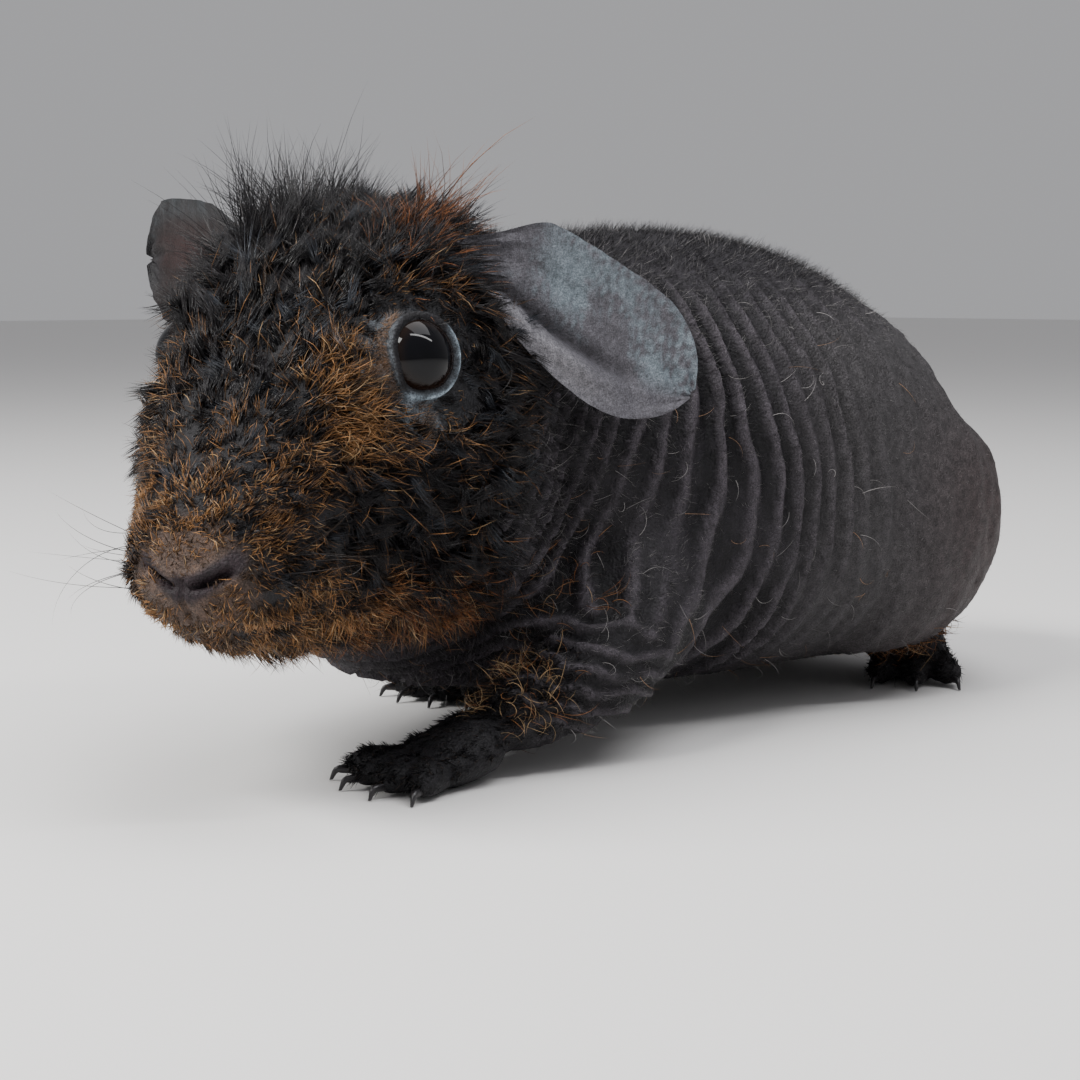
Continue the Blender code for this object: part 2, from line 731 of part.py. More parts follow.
def under_jaw_point(back, side, height):
    """The point of the coat's surface on this side that lies at this height below the widest line."""
    low, high = 0.0, math.pi / 2
    for _ in range(20):
        middle = (low + high) / 2
        angle = -middle if side > 0 else middle - math.pi
        if body_point(back, angle, coat_extra(back)).z > height:
            low = middle
        else:
            high = middle
    angle = -low if side > 0 else low - math.pi
    return body_point(back, angle, coat_extra(back))


def mouth_cutter(where):
    """A thin bent tube that sinks the line of the mouth round the muzzle."""
    stations = []
    for i in range(-5, 6):
        share = abs(i) / 5
        back = MOUTH_FRONT + (MOUTH_CORNER - MOUTH_FRONT) * share**1.5
        height = MOUTH_HEIGHT + 0.0012 * share * share
        stations.append((under_jaw_point(back, math.copysign(1, i), height), MOUTH_DEPTH, MOUTH_DEPTH * 0.8))
    return tube("mouth_cutter", where, stations, 20, 6)


def philtrum_cutter(where):
    """The groove from between the nostrils down to the mouth."""
    stations = [
        (place(-0.0004, 0, 0.0245), 0.0004, 0.0005),
        (place(0.0003, 0, 0.0215), 0.0004, 0.0006),
        (place(0.0019, 0, 0.0188), 0.0004, 0.0006),
    ]
    return tube("philtrum_cutter", where, stations, 8, 6)


def ear_frame(side):
    """Root point, and the directions along the flap, towards its upper edge and out of its cup."""
    turn = Matrix.Rotation(HEAD_YAW, 3, "Z")
    back, sideways, height = EAR_ROOT
    root = place(back, side * sideways, height - (0 if side > 0 else RIGHT_EAR_LOWER))
    along = Vector((0.690, 0.520, -0.580) if side > 0 else (-0.77, 0.57, 0.02))
    cup = Vector((0.66, -0.72, 0.09) if side > 0 else (-0.46, -0.86, -0.05))
    along = (turn @ along).normalized()
    if side < 0:
        root -= along * RIGHT_EAR_DEEPER
    cup = turn @ cup
    cup = (cup - along * cup.dot(along)).normalized()
    upper = along.cross(cup) * side
    if upper.z < 0:
        upper.negate()
    return root, along, upper, cup


def ear_form(name, side, where):
    """A thin petal whose edges bend into the cup, with a rolled front rim and a drooping tip."""
    root, along, upper, cup = ear_frame(side)
    inwards = Matrix.Rotation(HEAD_YAW, 3, "Z") @ Vector((-0.6 * side, 0, -0.8))

    def surface(share, angle):
        span = 0.5 - 0.5 * math.cos(math.pi * share)
        edge = math.cos(angle)
        half = EAR_BREADTH / 2 * ear_line(span)
        wall = EAR_THICKNESS / 2 * (1 - 0.25 * span) * math.sqrt(max(1 - edge**6, 0)) if 0 < share < 1 else 0
        bend = 0.0024 * edge * edge * (1 - 0.5 * span)
        roll = 0.0030 * max(-edge - 0.35, 0) ** 2 * (1 - span)
        droop = 0.0016 * span * span
        return (
            root
            + along * (EAR_LENGTH * span)
            + inwards * (EAR_SINK * (1 - ease(span, 0.0, 0.30)))
            + upper * (half * edge - 0.0014 * math.sin(math.pi * span) - droop)
            + cup * (bend + roll + wall * math.copysign(min(abs(math.sin(angle)) * 1.7, 1), math.sin(angle)))
        )

    return globe(name, EAR_SPAN_STEPS, EAR_CROSS_STEPS * 2, surface, where)


def build():
    for obj in list(bpy.data.objects):
        bpy.data.objects.remove(obj)
    part = collection("skinny_pig")
    cutters = collection("cutters")
    cutters.hide_render = True
    finish = {name: material(name) for name in COLOURS}

    torso = sliced(body_form("torso", part), NECK_END, keep_rear=True)
    neck = sliced(sliced(body_form("neck", part), NECK_END, keep_rear=False), HEAD_END, keep_rear=True)
    head = sliced(body_form("head", part), HEAD_END, keep_rear=False)
    floor = floor_cutter(cutters)

    limbs = {
        "foreleg_left": ("forefoot_left", FORE_LEFT),
        "foreleg_right": ("forefoot_right", FORE_RIGHT),
        "hindleg_left": ("hindfoot_left", HIND_LEFT),
        "hindleg_right": ("hindfoot_right", mirrored(HIND_LEFT)),
    }
    nodes = {"torso": torso, "neck": neck, "head": head}
    for leg_name, (foot_name, limb) in limbs.items():
        foot = joined([tube(foot_name, part, limb["palm"], 9, 12), *toe_forms(limb, part)])
        foot_room = room_of(foot, cutters)
        cut(foot, floor)
        leg = tube(leg_name, part, limb["limb"], 12, 14)
        if "shank" in limb:
            joined([leg, tube("shank", part, limb["shank"], 9, 10)])
        leg_room = room_of(leg, cutters)
        cut(leg, foot_room)
        cut(leg, floor)
        for trunk in (torso, neck):
            cut(trunk, leg_room)
            cut(trunk, foot_room)
        nodes[leg_name] = leg
        nodes[foot_name] = foot

    lids = [lid_ring(side, part) for side in (1, -1)]
    joined([head, *lids, *crown_locks(part)])
    cut(head, room_of(neck, cutters))
    for side, word in ((1, "left"), (-1, "right")):
        cut(head, eyeball("eye_room_" + word, side, cutters, extra=GAP * 1.2))
        cut(head, nostril_cutter(side, cutters))
        nodes["eye_" + word] = eyeball("eye_" + word, side, part)
    cut(head, mouth_cutter(cutters))
    cut(head, philtrum_cutter(cutters))

    head_room = body_form("head_room", cutters, extra=GAP)
    for side, word in ((1, "left"), (-1, "right")):
        ear = ear_form("ear_" + word, side, part)
        cut(head, room_of(ear, cutters))
        cut(ear, head_room)
        for trunk in (neck, torso):
            cut(ear, room_of(trunk, cutters))
        nodes["ear_" + word] = ear

    for name, obj in nodes.items():
        kind = name.split("_")[0]
        slot = {"eye": "eye", "ear": "ear", "head": "coat", "forefoot": "foot", "hindfoot": "foot"}.get(kind, "skin")
        obj.data.materials.clear()
        obj.data.materials.append(finish[slot])
        obj.data.shade_smooth()
        obj.data.transform(Matrix.Translation(ORIGIN_SHIFT))
    for obj in list(cutters.objects):
        bpy.data.objects.remove(obj)
    bpy.data.collections.remove(cutters)


build()
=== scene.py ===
# A life-size still model of a young skinny pig: wrinkled bare skin, wiry coat on the head, soft ears.
import math
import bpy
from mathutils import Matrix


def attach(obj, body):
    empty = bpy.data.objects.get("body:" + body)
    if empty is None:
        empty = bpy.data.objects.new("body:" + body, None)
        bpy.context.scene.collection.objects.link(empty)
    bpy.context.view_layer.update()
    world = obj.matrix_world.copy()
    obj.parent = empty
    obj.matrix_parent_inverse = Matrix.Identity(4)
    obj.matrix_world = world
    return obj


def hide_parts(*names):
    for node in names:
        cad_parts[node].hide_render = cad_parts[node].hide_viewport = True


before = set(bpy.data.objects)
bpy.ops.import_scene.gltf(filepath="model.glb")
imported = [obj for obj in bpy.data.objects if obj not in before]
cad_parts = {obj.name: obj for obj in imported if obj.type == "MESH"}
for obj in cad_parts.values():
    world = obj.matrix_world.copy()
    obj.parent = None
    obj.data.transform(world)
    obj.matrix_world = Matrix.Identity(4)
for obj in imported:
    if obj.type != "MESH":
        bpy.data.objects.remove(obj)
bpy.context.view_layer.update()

from types import SimpleNamespace

import bmesh
import bpy
import numpy as np
from mathutils import Matrix, Vector
from mathutils.kdtree import KDTree

# The body's own measures, as the solids have them; each line is (distance back, value) from the nose tip
LENGTH = 0.1438
NOSE_TIP_Y = -0.0718
HEAD_YAW = math.radians(25)
BEND_START, BEND_END = 0.038, 0.066
SHIFT = np.array((0.0006, 0.0026, 0.0))
BACK_LINE = (
    (0.000, 0.0270), (0.002, 0.0305), (0.006, 0.0362), (0.012, 0.0430), (0.020, 0.0497), (0.028, 0.0553),
    (0.036, 0.0593), (0.043, 0.0600), (0.052, 0.0577), (0.062, 0.0568), (0.074, 0.0582), (0.088, 0.0592),
    (0.102, 0.0578), (0.112, 0.0545), (0.119, 0.0500), (0.125, 0.0443), (0.131, 0.0400), (0.137, 0.0352),
    (LENGTH, 0.0290),
)
BELLY_LINE = (
    (0.000, 0.0216), (0.0015, 0.0205), (0.0035, 0.0194), (0.0065, 0.0181), (0.011, 0.0168), (0.018, 0.0159),
    (0.026, 0.0154), (0.032, 0.0136), (0.040, 0.0100), (0.050, 0.0070), (0.060, 0.0052), (0.072, 0.0040),
    (0.090, 0.0032), (0.120, 0.0032), (0.134, 0.0045), (LENGTH, 0.0110),
)
FLANK_LINE = (
    (0.000, 0.0056), (0.004, 0.0074), (0.008, 0.0092), (0.012, 0.0113), (0.018, 0.0146), (0.024, 0.0170),
    (0.032, 0.0186), (0.042, 0.0190), (0.050, 0.0192), (0.060, 0.0214), (0.070, 0.0248), (0.084, 0.0285),
    (0.100, 0.0305), (0.114, 0.0300), (0.126, 0.0268), (0.136, 0.0222), (LENGTH, 0.0175),
)
WIDEST_LINE = (
    (0.000, 0.0232), (0.006, 0.0265), (0.012, 0.0305), (0.022, 0.0340), (0.036, 0.0360), (0.050, 0.0340),
    (0.066, 0.0290), (0.090, 0.0265), (0.120, 0.0240), (LENGTH, 0.0205),
)
SQUARE_LINE = (
    (0.000, 2.10), (0.008, 2.45), (0.016, 2.80), (0.028, 2.80), (0.042, 2.30), (0.070, 2.15), (LENGTH, 2.15),
)
LOWER_SQUARE_LINE = (
    (0.000, 1.70), (0.014, 1.75), (0.028, 1.95), (0.042, 2.25), (0.060, 2.40), (LENGTH, 2.40),
)
NOSE_ROUND, RUMP_ROUND = 0.0045, 0.0170
RING_LINE = (
    (0.000, 0.0000), (0.030, 0.0005), (0.060, 0.0019), (0.090, 0.0043), (0.375, 0.050), (0.510, 0.067),
    (0.900, 0.1290), (0.950, 0.1375), (0.980, 0.1421), (1.000, LENGTH),
)
HEAD_RELIEF = (  # swells and hollows of the head: back, sideways, height, radius, rise
    (0.0075, 0.0090, 0.0235, 0.0060, 0.0010), (0.0155, 0.0120, 0.0370, 0.0070, -0.0009),
    (0.0340, 0.0170, 0.0290, 0.0100, 0.0016), (0.0270, 0.0110, 0.0530, 0.0060, 0.0007),
    (0.0240, 0.0160, 0.0440, 0.0060, -0.0010),
)
EYE_PLACE = (0.0250, 0.0121, 0.0450)  # back, sideways, height
EYE_RADIUS = 0.0046
EYE_LOOK = (0.800, -0.560, 0.160)
LID_OPENING = (0.0034, 0.0036)
MOUTH_FRONT, MOUTH_CORNER, MOUTH_HEIGHT = 0.0022, 0.0120, 0.0196
EAR_LENGTH, EAR_BREADTH, EAR_THICKNESS, EAR_SINK = 0.0325, 0.0150, 0.0011, 0.0065
EAR_ROOT = (0.0366, 0.0120, 0.0600)
RIGHT_EAR_LOWER, RIGHT_EAR_DEEPER = 0.0034, 0.0030
EAR_OUTLINE = (
    (0.00, 0.52), (0.14, 0.58), (0.29, 0.80), (0.48, 0.95), (0.68, 1.00), (0.80, 0.93), (0.90, 0.70),
    (0.97, 0.38), (1.00, 0.10),
)
# Limbs: (point, half-width, half-height) from the root outwards
FORE_LEFT = {
    "limb": (
        ((0.0140, -0.0010, 0.0235), 0.0075, 0.0095), ((0.0226, -0.0105, 0.0155), 0.0068, 0.0082),
        ((0.0245, -0.0190, 0.0104), 0.0055, 0.0056), ((0.0232, -0.0270, 0.0074), 0.0044, 0.0046),
        ((0.0218, -0.0330, 0.0054), 0.0042, 0.0038),
    ),
    "palm": (
        ((0.0220, -0.0318, 0.0050), 0.0042, 0.0036), ((0.0208, -0.0375, 0.0027), 0.0056, 0.0030),
        ((0.0200, -0.0420, 0.0018), 0.0060, 0.0024),
    ),
    "toes": 4, "toe_length": 0.0074, "ahead": (-0.10, -1.0, 0.0), "spread": math.radians(66),
}
FORE_RIGHT = {
    "limb": (
        ((-0.0170, 0.0180, 0.0170), 0.0072, 0.0090), ((-0.0185, 0.0125, 0.0120), 0.0062, 0.0074),
        ((-0.0180, 0.0060, 0.0080), 0.0050, 0.0056), ((-0.0170, 0.0020, 0.0056), 0.0042, 0.0038),
    ),
    "palm": (
        ((-0.0168, 0.0035, 0.0050), 0.0042, 0.0036), ((-0.0155, -0.0020, 0.0027), 0.0056, 0.0030),
        ((-0.0150, -0.0065, 0.0018), 0.0060, 0.0024),
    ),
    "toes": 4, "toe_length": 0.0074, "ahead": (0.12, -1.0, 0.0), "spread": math.radians(60),
}
HIND_LEFT = {
    "limb": (
        ((0.0140, 0.0515, 0.0300), 0.0118, 0.0138), ((0.0190, 0.0430, 0.0240), 0.0125, 0.0165),
        ((0.0215, 0.0330, 0.0180), 0.0105, 0.0140), ((0.0215, 0.0240, 0.0110), 0.0070, 0.0090),
    ),
    "shank": (
        ((0.0215, 0.0250, 0.0125), 0.0060, 0.0070), ((0.0175, 0.0400, 0.0120), 0.0062, 0.0066),
        ((0.0110, 0.0545, 0.0100), 0.0048, 0.0052),
    ),
    "palm": (
        ((0.0090, 0.0560, 0.0042), 0.0038, 0.0045), ((0.0135, 0.0515, 0.0038), 0.0044, 0.0042),
        ((0.0175, 0.0470, 0.0032), 0.0056, 0.0036), ((0.0190, 0.0450, 0.0026), 0.0054, 0.0030),
    ),
    "toes": 3, "toe_length": 0.0062, "ahead": (0.66, -0.75, 0.0), "spread": math.radians(40),
}
BRISKET = (  # flesh between the throat and the left upper arm
    ((0.0080, -0.0180, 0.0190), 0.0080, 0.0080), ((0.0150, -0.0185, 0.0165), 0.0072, 0.0070),
    ((0.0200, -0.0160, 0.0150), 0.0060, 0.0062), ((0.0225, -0.0120, 0.0150), 0.0050, 0.0055),
)
CLAW_LENGTH, CLAW_RADIUS = 0.0019, 0.00048
TOE_HALF = 0.0019
SOLE_LIFT = 0.0001  # skin and claws stay this far above the floor

# The skin
SKIN_GRAIN = 0.00074  # size of the skin's faces
FOLD_SPACING = (
    (0.030, 0.0050), (0.052, 0.0048), (0.066, 0.0040), (0.080, 0.0031), (0.095, 0.0036), (0.110, 0.0052),
    (LENGTH, 0.0080),
)
FOLD_HEIGHT = (
    (0.030, 0.0), (0.040, 0.00085), (0.058, 0.00110), (0.070, 0.00085), (0.090, 0.00072), (0.104, 0.00036),
    (0.122, 0.00020), (0.136, 0.0),
)
HIP_CREASE, HIP_CREASE_DEPTH, HIP_CREASE_WIDTH = 0.1255, 0.0026, 0.0034
ELBOW_CREASES, ELBOW_CREASE_SPACING, ELBOW_CREASE_HEIGHT = (
    ((0.0275, -0.0225, 0.0100), (-0.0230, 0.0080, 0.0095)), 0.0023, 0.00045,
)
LID_ROLLS = ((1.10, 0.08, 0.00022), (1.26, 0.06, -0.00012), (1.42, 0.09, 0.00018))  # at, width, rise
NOSTRIL_PLACE = (0.0006, 0.0030, 0.0248)
NOSTRIL_DEPTH, NOSTRIL_HALF, NOSTRIL_WIDTH, NOSTRIL_BOW = 0.0014, 0.0021, 0.00040, 35
LIP_GROOVE_DEPTH, LIP_GROOVE_WIDTH = 0.0004, 0.00035
MOUTH_DEPTH, MOUTH_WIDTH, LIP_RISE = 0.0007, 0.00040, 0.00035


def smooth_line(points):
    """A function through the points, with slopes that never overshoot them."""
    at, value = np.array(points, float).T
    step = np.diff(at)
    rise = np.diff(value) / step
    slope = np.zeros_like(value)
    for i in range(1, len(value) - 1):
        if rise[i - 1] * rise[i] > 0:
            before, after = 2 * step[i] + step[i - 1], step[i] + 2 * step[i - 1]
            slope[i] = (before + after) / (before / rise[i - 1] + after / rise[i])
    slope[0], slope[-1] = rise[0], rise[-1]

    def line(x):
        x = np.clip(x, at[0], at[-1])
        i = np.clip(np.searchsorted(at, x, side="right") - 1, 0, len(step) - 1)
        t = (x - at[i]) / step[i]
        return (
            value[i] * (1 + 2 * t) * (1 - t) ** 2
            + slope[i] * step[i] * t * (1 - t) ** 2
            + value[i + 1] * t * t * (3 - 2 * t)
            - slope[i + 1] * step[i] * t * t * (1 - t)
        )

    return line


back_line, belly_line, flank_line, widest_line, square_line, lower_square_line, ear_line, ring_line = (
    smooth_line(points)
    for points in (
        BACK_LINE, BELLY_LINE, FLANK_LINE, WIDEST_LINE, SQUARE_LINE, LOWER_SQUARE_LINE, EAR_OUTLINE, RING_LINE
    )
)
fold_spacing, fold_height = smooth_line(FOLD_SPACING), smooth_line(FOLD_HEIGHT)


def ease(x, start, end):
    """0 before start, 1 after end, and smooth between."""
    t = np.clip((x - start) / (end - start), 0.0, 1.0)
    return t * t * (3 - 2 * t)


def hump(x, middle, width):
    return np.exp(-(((x - middle) / width) ** 2))


def unit(vectors):
    return vectors / np.maximum(np.linalg.norm(vectors, axis=-1, keepdims=True), 1e-12)


def waver(points, size, seed):
    """Slow random variation over the points, mostly between -1 and 1, the same in every run."""
    draw = np.random.default_rng(seed)
    total = np.zeros(points.shape[:-1])
    for _ in range(7):
        way = unit(draw.normal(size=points.shape[-1]))
        rate = 2 * math.pi / size * draw.uniform(0.6, 1.6)
        total += np.cos(points @ way * rate + draw.uniform(0, 2 * math.pi))
    return total / 2.4


def heading(back):
    return HEAD_YAW * (1 - ease(back, BEND_START, BEND_END))


def spine_table(steps=900):
    back = np.linspace(0, LENGTH, steps)
    angle = heading(back)
    step = back[1] - back[0]
    across = np.concatenate([[0], np.cumsum((np.sin(angle[1:]) + np.sin(angle[:-1])) / 2 * step)])
    along = np.concatenate([[0], np.cumsum((np.cos(angle[1:]) + np.cos(angle[:-1])) / 2 * step)])
    return back, across[-1] - across + SHIFT[0], NOSE_TIP_Y + along + SHIFT[1]


SPINE = spine_table()


def place(back, sideways, height):
    """Points this far back along the spine, this far to the animal's left of it, at this height."""
    inside = np.clip(back, 0, LENGTH)
    beyond = back - inside
    angle = heading(inside)
    x = np.interp(inside, SPINE[0], SPINE[1]) + sideways * np.cos(angle) - beyond * np.sin(angle)
    y = np.interp(inside, SPINE[0], SPINE[2]) + sideways * np.sin(angle) + beyond * np.cos(angle)
    return np.stack(np.broadcast_arrays(x, y, height), axis=-1)


def from_spine(points):
    """Distance back, sideways and height of points: what place() undoes."""
    back = np.empty(len(points))
    for start in range(0, len(points), 20000):
        part = points[start:start + 20000]
        away = (part[:, None, 0] - SPINE[1][::6]) ** 2 + (part[:, None, 1] - SPINE[2][::6]) ** 2
        back[start:start + 20000] = SPINE[0][::6][away.argmin(axis=1)]
    for _ in range(4):
        inside = np.clip(back, 0, LENGTH)
        angle = heading(inside)
        here = place(back, 0, 0)
        back += (points[:, 0] - here[:, 0]) * -np.sin(angle) + (points[:, 1] - here[:, 1]) * np.cos(angle)
    angle = heading(np.clip(back, 0, LENGTH))
    here = place(back, 0, 0)
    sideways = (points[:, 0] - here[:, 0]) * np.cos(angle) + (points[:, 1] - here[:, 1]) * np.sin(angle)
    return back, sideways, points[:, 2]


def relief_push(back, sideways, height):
    push = 0.0
    for at_back, at_side, at_height, radius, amount in HEAD_RELIEF:
        away = (back - at_back) ** 2 + (np.abs(sideways) - at_side) ** 2 + (height - at_height) ** 2
        push = push + amount * np.exp(-away / (radius * radius))
    return push


def hip_push(back):
    away = (back - HIP_CREASE) / HIP_CREASE_WIDTH
    return -HIP_CREASE_DEPTH * np.exp(-away * away) + 0.0006 * np.exp(-((np.abs(away) - 2) ** 2))


def body_points(back, angle, extra=0.0):
    """Points of the body's broad surface: angle 0 is the animal's left, and a quarter turn is its back."""
    back = np.clip(back, 0.0, LENGTH)
    nose = np.minimum(back / NOSE_ROUND, 1.0)
    rump = np.minimum((LENGTH - back) / RUMP_ROUND, 1.0)
    cap = np.sqrt(1 - (1 - nose) ** 2) * np.sqrt(1 - (1 - rump) ** 2)
    middle = widest_line(back)
    c, s = np.cos(angle), np.sin(angle)
    power = 2 / np.where(s > 0, square_line(back), lower_square_line(back))
    reach = np.where(s > 0, back_line(back) - middle, middle - belly_line(back))
    sideways = flank_line(back) * cap * np.copysign(np.abs(c) ** power, c)
    rise = reach * cap * np.copysign(np.abs(s) ** power, s)
    side_in = sideways / flank_line(back) ** 2
    rise_in = rise / np.maximum(reach, 1e-6) ** 2
    size = np.maximum(np.hypot(side_in, rise_in), 1e-9)
    push = extra + hip_push(back) + np.where(back < 0.060, relief_push(back, sideways, middle + rise), 0)
    push = push * np.minimum(cap * 3, 1.0)
    return place(back, sideways + push * side_in / size, middle + rise + push * rise_in / size)


def points_of(mesh):
    flat = np.empty(len(mesh.vertices) * 3)
    mesh.vertices.foreach_get("co", flat)
    return flat.reshape(-1, 3)


def set_points(mesh, points):
    mesh.vertices.foreach_set("co", np.ascontiguousarray(points, dtype=float).ravel())
    mesh.update()


def normals_of(mesh):
    flat = np.empty(len(mesh.vertices) * 3)
    mesh.vertex_normals.foreach_get("vector", flat)
    return flat.reshape(-1, 3)


def into_mesh(name, bm):
    """Ends the working mesh and hands back a finished one."""
    mesh = bpy.data.meshes.new(name)
    bm.to_mesh(mesh)
    bm.free()
    return mesh


def joined(name, forms):
    """One mesh of all these forms."""
    bm = bmesh.new()
    for form in forms:
        bm.from_mesh(form)
        bpy.data.meshes.remove(form)
    return into_mesh(name, bm)


def globe(name, rings, sides, surface):
    """A closed form: a UV sphere with its rings and sides carried to surface(share, angle)."""
    bm = bmesh.new()
    bmesh.ops.create_uvsphere(bm, u_segments=sides, v_segments=rings, radius=1)
    co = np.array([vertex.co for vertex in bm.verts])
    share = np.arccos(np.clip(co[:, 2], -1, 1)) / math.pi
    for vertex, point in zip(bm.verts, surface(share, np.arctan2(co[:, 1], co[:, 0]))):
        vertex.co = point
    bm.normal_update()
    bmesh.ops.recalc_face_normals(bm, faces=bm.faces)
    return into_mesh(name, bm)


def piece(name, mesh, material):
    """Puts a finished mesh into the scene and lets it move with the model."""
    made = bpy.data.objects.new(name, mesh)
    bpy.context.scene.collection.objects.link(made)
    mesh.materials.clear()
    mesh.materials.append(material)
    mesh.shade_smooth()
    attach(made, "root")
    return made


def tube(name, stations, rings, sides):
    """A rounded form through (point, half-width, half-height) stations, the ends domed."""
    points = np.array([station[0] for station in stations], float) + SHIFT
    lengths = np.concatenate([[0], np.cumsum(np.linalg.norm(np.diff(points, axis=0), axis=1))])
    total = lengths[-1]
    lines = [smooth_line(list(zip(lengths, points[:, i]))) for i in range(3)]
    wide = smooth_line(list(zip(lengths, [station[1] for station in stations])))
    tall = smooth_line(list(zip(lengths, [station[2] for station in stations])))

    def surface(share, angle):
        at = total * (1 - np.cos(np.pi * share)) / 2
        centre = np.stack([line(at) for line in lines], axis=-1)
        ahead = unit(np.stack([line(at + 0.0005) - line(at - 0.0005) for line in lines], axis=-1))
        first = np.minimum(at / (tall(0.0) * 0.9), 1.0)
        last = np.minimum((total - at) / (tall(total) * 0.9), 1.0)
        cap = np.sqrt(np.maximum(1 - (1 - first) ** 2, 0)) * np.sqrt(np.maximum(1 - (1 - last) ** 2, 0))
        across = unit(np.cross(ahead, (0, 0, 1)))
        up = np.cross(across, ahead)
        aside, above = wide(at) * cap * np.cos(angle), tall(at) * cap * np.sin(angle)
        return centre + across * aside[:, None] + up * above[:, None]

    return globe(name, rings, sides, surface)


def mirrored(limb):
    def flip(point):
        return (-point[0], point[1], point[2])

    made = dict(limb)
    for key in ("limb", "shank", "palm"):
        made[key] = tuple((flip(p), wide, tall) for p, wide, tall in limb[key])
    made["ahead"] = flip(limb["ahead"])
    return made


LIMBS = {
    "foreleg_left": FORE_LEFT, "foreleg_right": FORE_RIGHT, "hindleg_left": HIND_LEFT,
    "hindleg_right": mirrored(HIND_LEFT),
}
PAWS = [limb["palm"][-1][0] for limb in LIMBS.values()]


def toe_lines(limb):
    """For each toe: its start, knuckle and tip, and the way it points."""
    root, half_width, _ = limb["palm"][-1]
    ahead = Vector(limb["ahead"]).normalized()
    across = ahead.cross(Vector((0, 0, 1)))
    for i in range(limb["toes"]):
        share = i / (limb["toes"] - 1) * 2 - 1
        angle = share * limb["spread"] / 2
        out = ahead * math.cos(angle) + across * math.sin(angle)
        reach = limb["toe_length"] * (1 - 0.16 * share * share)
        start = Vector(root) + across * (share * half_width * 0.72) - out * 0.0016
        start.z = 0.0016
        knuckle = start + out * (reach * 0.55) + Vector((0, 0, 0.0004))
        tip = start + out * reach - Vector((0, 0, 0.0006))
        yield start, knuckle, tip, out


def eye_frame(side):
    """The eye's middle, and its outward, forward and upward directions."""
    turn = Matrix.Rotation(HEAD_YAW, 3, "Z")
    look = (turn @ Vector((side * EYE_LOOK[0], EYE_LOOK[1], EYE_LOOK[2]))).normalized()
    ahead = Vector((math.sin(HEAD_YAW), -math.cos(HEAD_YAW), 0))
    ahead = (ahead - look * ahead.dot(look)).normalized()
    up = look.cross(ahead)
    if up.z < 0:
        up.negate()
    middle = place(EYE_PLACE[0], side * EYE_PLACE[1], EYE_PLACE[2])
    return middle, np.array(look), np.array(ahead), np.array(up)


# The skin

def body_mass():
    """Body, limbs and toes melted into one closed surface."""
    forms = [globe("trunk", 150, 72, lambda share, angle: body_points(ring_line(share), angle))]
    for limb in LIMBS.values():
        forms.append(tube("limb", limb["limb"], 26, 28))
        forms.append(tube("palm", limb["palm"], 16, 20))
        if "shank" in limb:
            forms.append(tube("shank", limb["shank"], 20, 20))
        for start, knuckle, tip, _ in toe_lines(limb):
            stations = (
                (start, TOE_HALF, TOE_HALF * 1.1), (knuckle, TOE_HALF * 0.95, TOE_HALF),
                (tip, TOE_HALF * 0.72, TOE_HALF * 0.72),
            )
            forms.append(tube("toe", stations, 12, 14))
    forms.append(tube("brisket", BRISKET, 20, 24))
    mesh = joined("skin", forms)
    holder = bpy.data.objects.new("mass", mesh)
    bpy.context.scene.collection.objects.link(holder)
    melt = holder.modifiers.new("melt", "REMESH")
    melt.mode = "VOXEL"
    melt.voxel_size = SKIN_GRAIN
    bpy.context.view_layer.update()
    melted = bpy.data.meshes.new_from_object(holder.evaluated_get(bpy.context.evaluated_depsgraph_get()))
    bpy.data.objects.remove(holder)
    bpy.data.meshes.remove(mesh)
    return melted


def relax(mesh, rounds, share):
    """Moves every point towards the middle of its neighbours, by share(points) of the way, some rounds."""
    edges = np.empty(len(mesh.edges) * 2, dtype=int)
    mesh.edges.foreach_get("vertices", edges)
    edges = edges.reshape(-1, 2)
    count = np.bincount(edges.ravel(), minlength=len(mesh.vertices))[:, None]
    points = points_of(mesh)
    part = share(points)[:, None] if callable(share) else share
    for _ in range(rounds):
        total = np.stack([
            np.bincount(edges[:, 0], points[edges[:, 1], i], len(points))
            + np.bincount(edges[:, 1], points[edges[:, 0], i], len(points))
            for i in range(3)
        ], axis=-1)
        points = points + (total / count - points) * part
    set_points(mesh, points)


def near(points, spots):
    """1 at the spots, fading to 0 at each spot's radius."""
    most = np.zeros(len(points))
    for spot, radius in spots:
        far = np.linalg.norm(points - (np.array(spot) + SHIFT), axis=1)
        most = np.maximum(most, 1 - ease(far, radius * 0.5, radius))
    return most


JOINTS = (  # where limbs grow out of the trunk, and how far round them the skin is eased
    ((0.0200, -0.0080, 0.0200), 0.0190), ((0.0185, -0.0180, 0.0165), 0.0110),
    ((-0.0180, 0.0150, 0.0150), 0.0140),
    ((0.0200, 0.0340, 0.0280), 0.0260), ((-0.0200, 0.0340, 0.0280), 0.0260),
    ((0.0160, 0.0500, 0.0080), 0.0090), ((-0.0160, 0.0500, 0.0080), 0.0090),
)


def finer(mesh, spots):
    """Splits the faces near the spots."""
    bm = bmesh.new()
    bm.from_mesh(mesh)
    points = np.array([vertex.co for vertex in bm.verts])
    inside = np.zeros(len(points), bool)
    for spot, radius in spots:
        inside |= np.linalg.norm(points - spot, axis=1) < radius
    edges = [edge for edge in bm.edges if inside[edge.verts[0].index] and inside[edge.verts[1].index]]
    bmesh.ops.subdivide_edges(bm, edges=edges, cuts=1, smooth=0.6, use_grid_fill=True)
    bmesh.ops.triangulate(bm, faces=[face for face in bm.faces if len(face.verts) > 4])
    bm.to_mesh(mesh)
    bm.free()


